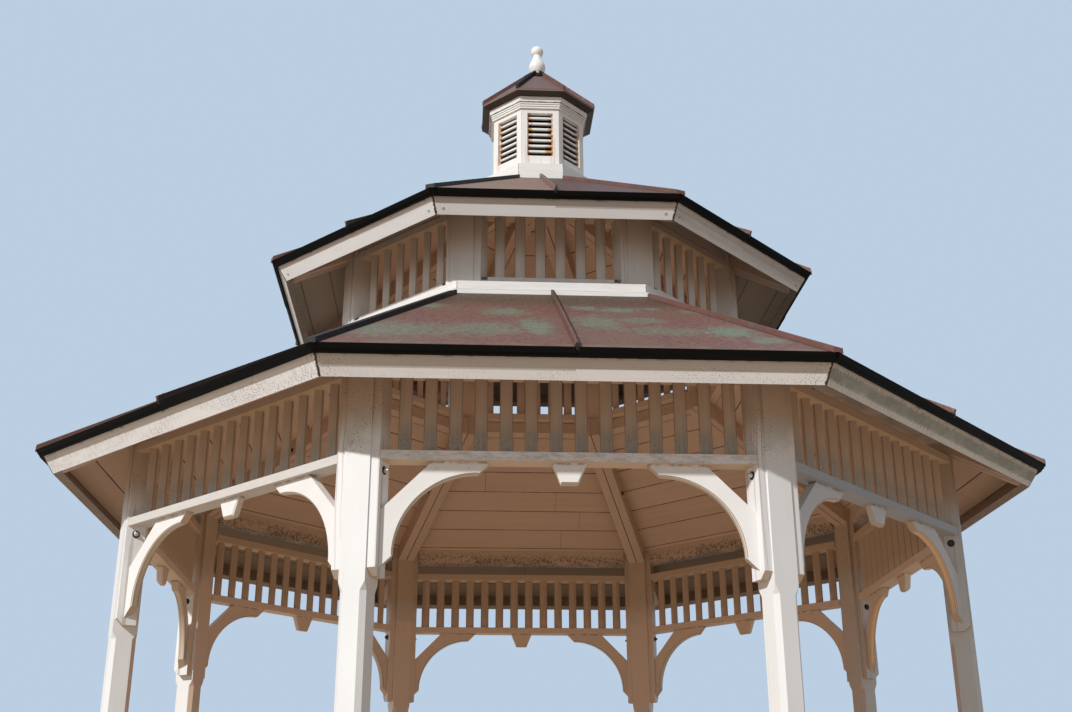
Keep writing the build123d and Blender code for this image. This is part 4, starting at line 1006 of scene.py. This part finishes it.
def stage_floor():
    """Flat ground just under the posts' feet, pale to the camera and tan in the light that it throws back."""
    size, level = 60, -0.002
    mesh = bpy.data.meshes.new("floor")
    corners = [(-size, -size, level), (size, -size, level), (size, size, level), (-size, size, level)]
    mesh.from_pydata(corners, [], [(0, 1, 2, 3)])
    floor = bpy.data.objects.new("floor", mesh)
    scene.collection.objects.link(floor)
    f = Finish("pale_floor", 0.9, gloss=0.1)
    mesh.materials.append(f.finish(f.over(seen(f.tree), (0.56, 0.415, 0.305), (0.70, 0.69, 0.66))))


def seen(tree):
    """One for rays from the camera, from gloss and through glass, nought for the light on the object."""
    path = tree.nodes.new("ShaderNodeLightPath")
    result = path.outputs["Is Camera Ray"]
    for name in ("Is Glossy Ray", "Is Transmission Ray"):
        node = tree.nodes.new("ShaderNodeMath")
        node.operation = "ADD"
        node.use_clamp = True
        tree.links.new(result, node.inputs[0])
        tree.links.new(path.outputs[name], node.inputs[1])
        result = node.outputs[0]
    return result


def light():
    """A fill that is cool from the right and warmer from the left, a pale blue backdrop, and one sun."""
    warm_side = (-0.45, 0.10, 0.0)
    cool, warm, backdrop = (0.22, 0.28, 0.35), (0.44, 0.43, 0.42), (0.50, 0.62, 0.76)
    from_zenith, bearing = math.radians(57), math.radians(-41.7)
    world = bpy.data.worlds.new("studio")
    scene.world = world
    world.use_nodes = True
    tree = world.node_tree
    side = tree.nodes.new("ShaderNodeVectorMath")
    side.operation = "DOT_PRODUCT"
    side.inputs[1].default_value = warm_side
    tree.links.new(tree.nodes.new("ShaderNodeTexCoord").outputs["Generated"], side.inputs[0])
    lean = tree.nodes.new("ShaderNodeMath")
    lean.operation = "ADD"
    lean.inputs[1].default_value = 0.5
    tree.links.new(side.outputs["Value"], lean.inputs[0])
    fill = blended(tree, lean.outputs[0], cool, warm)
    back = tree.nodes["Background"]
    back.inputs["Strength"].default_value = 1.0
    tree.links.new(blended(tree, seen(tree), fill, backdrop), back.inputs["Color"])
    sun = bpy.data.lights.new("key", "SUN")
    sun.energy = 3.1
    sun.angle = 0.03
    sun.color = (1.0, 0.99, 0.975)
    lamp = bpy.data.objects.new("key", sun)
    lamp.rotation_euler = (from_zenith, 0, bearing)
    scene.collection.objects.link(lamp)


def camera():
    """The photograph's camera: turned by yaw, pitch and roll, its lens as focal length over frame width."""
    eye = Vector((-0.4351, -7.1363, 0.8621))
    yaw, pitch, roll = math.radians(3.385), math.radians(21.483), math.radians(-0.179)
    ahead = Vector((math.sin(yaw) * math.cos(pitch), math.cos(yaw) * math.cos(pitch), math.sin(pitch)))
    right = Vector((math.cos(yaw), -math.sin(yaw), 0.0))
    up = right.cross(ahead)
    rolled_right = right * math.cos(roll) + up * math.sin(roll)
    rolled_up = up * math.cos(roll) - right * math.sin(roll)
    lens = bpy.data.cameras.new("camera")
    lens.sensor_width = 36.0
    focal_pixels, photo_width = 1311.17, 1072.0
    lens.lens = focal_pixels / photo_width * lens.sensor_width
    lens.clip_end = 200.0
    view = bpy.data.objects.new("camera", lens)
    scene.collection.objects.link(view)
    place = Matrix((rolled_right, rolled_up, -ahead)).transposed().to_4x4()
    place.translation = eye
    view.matrix_world = place
    scene.camera = view


stage_floor()
light()
camera()
scene.view_settings.view_transform = "Standard"
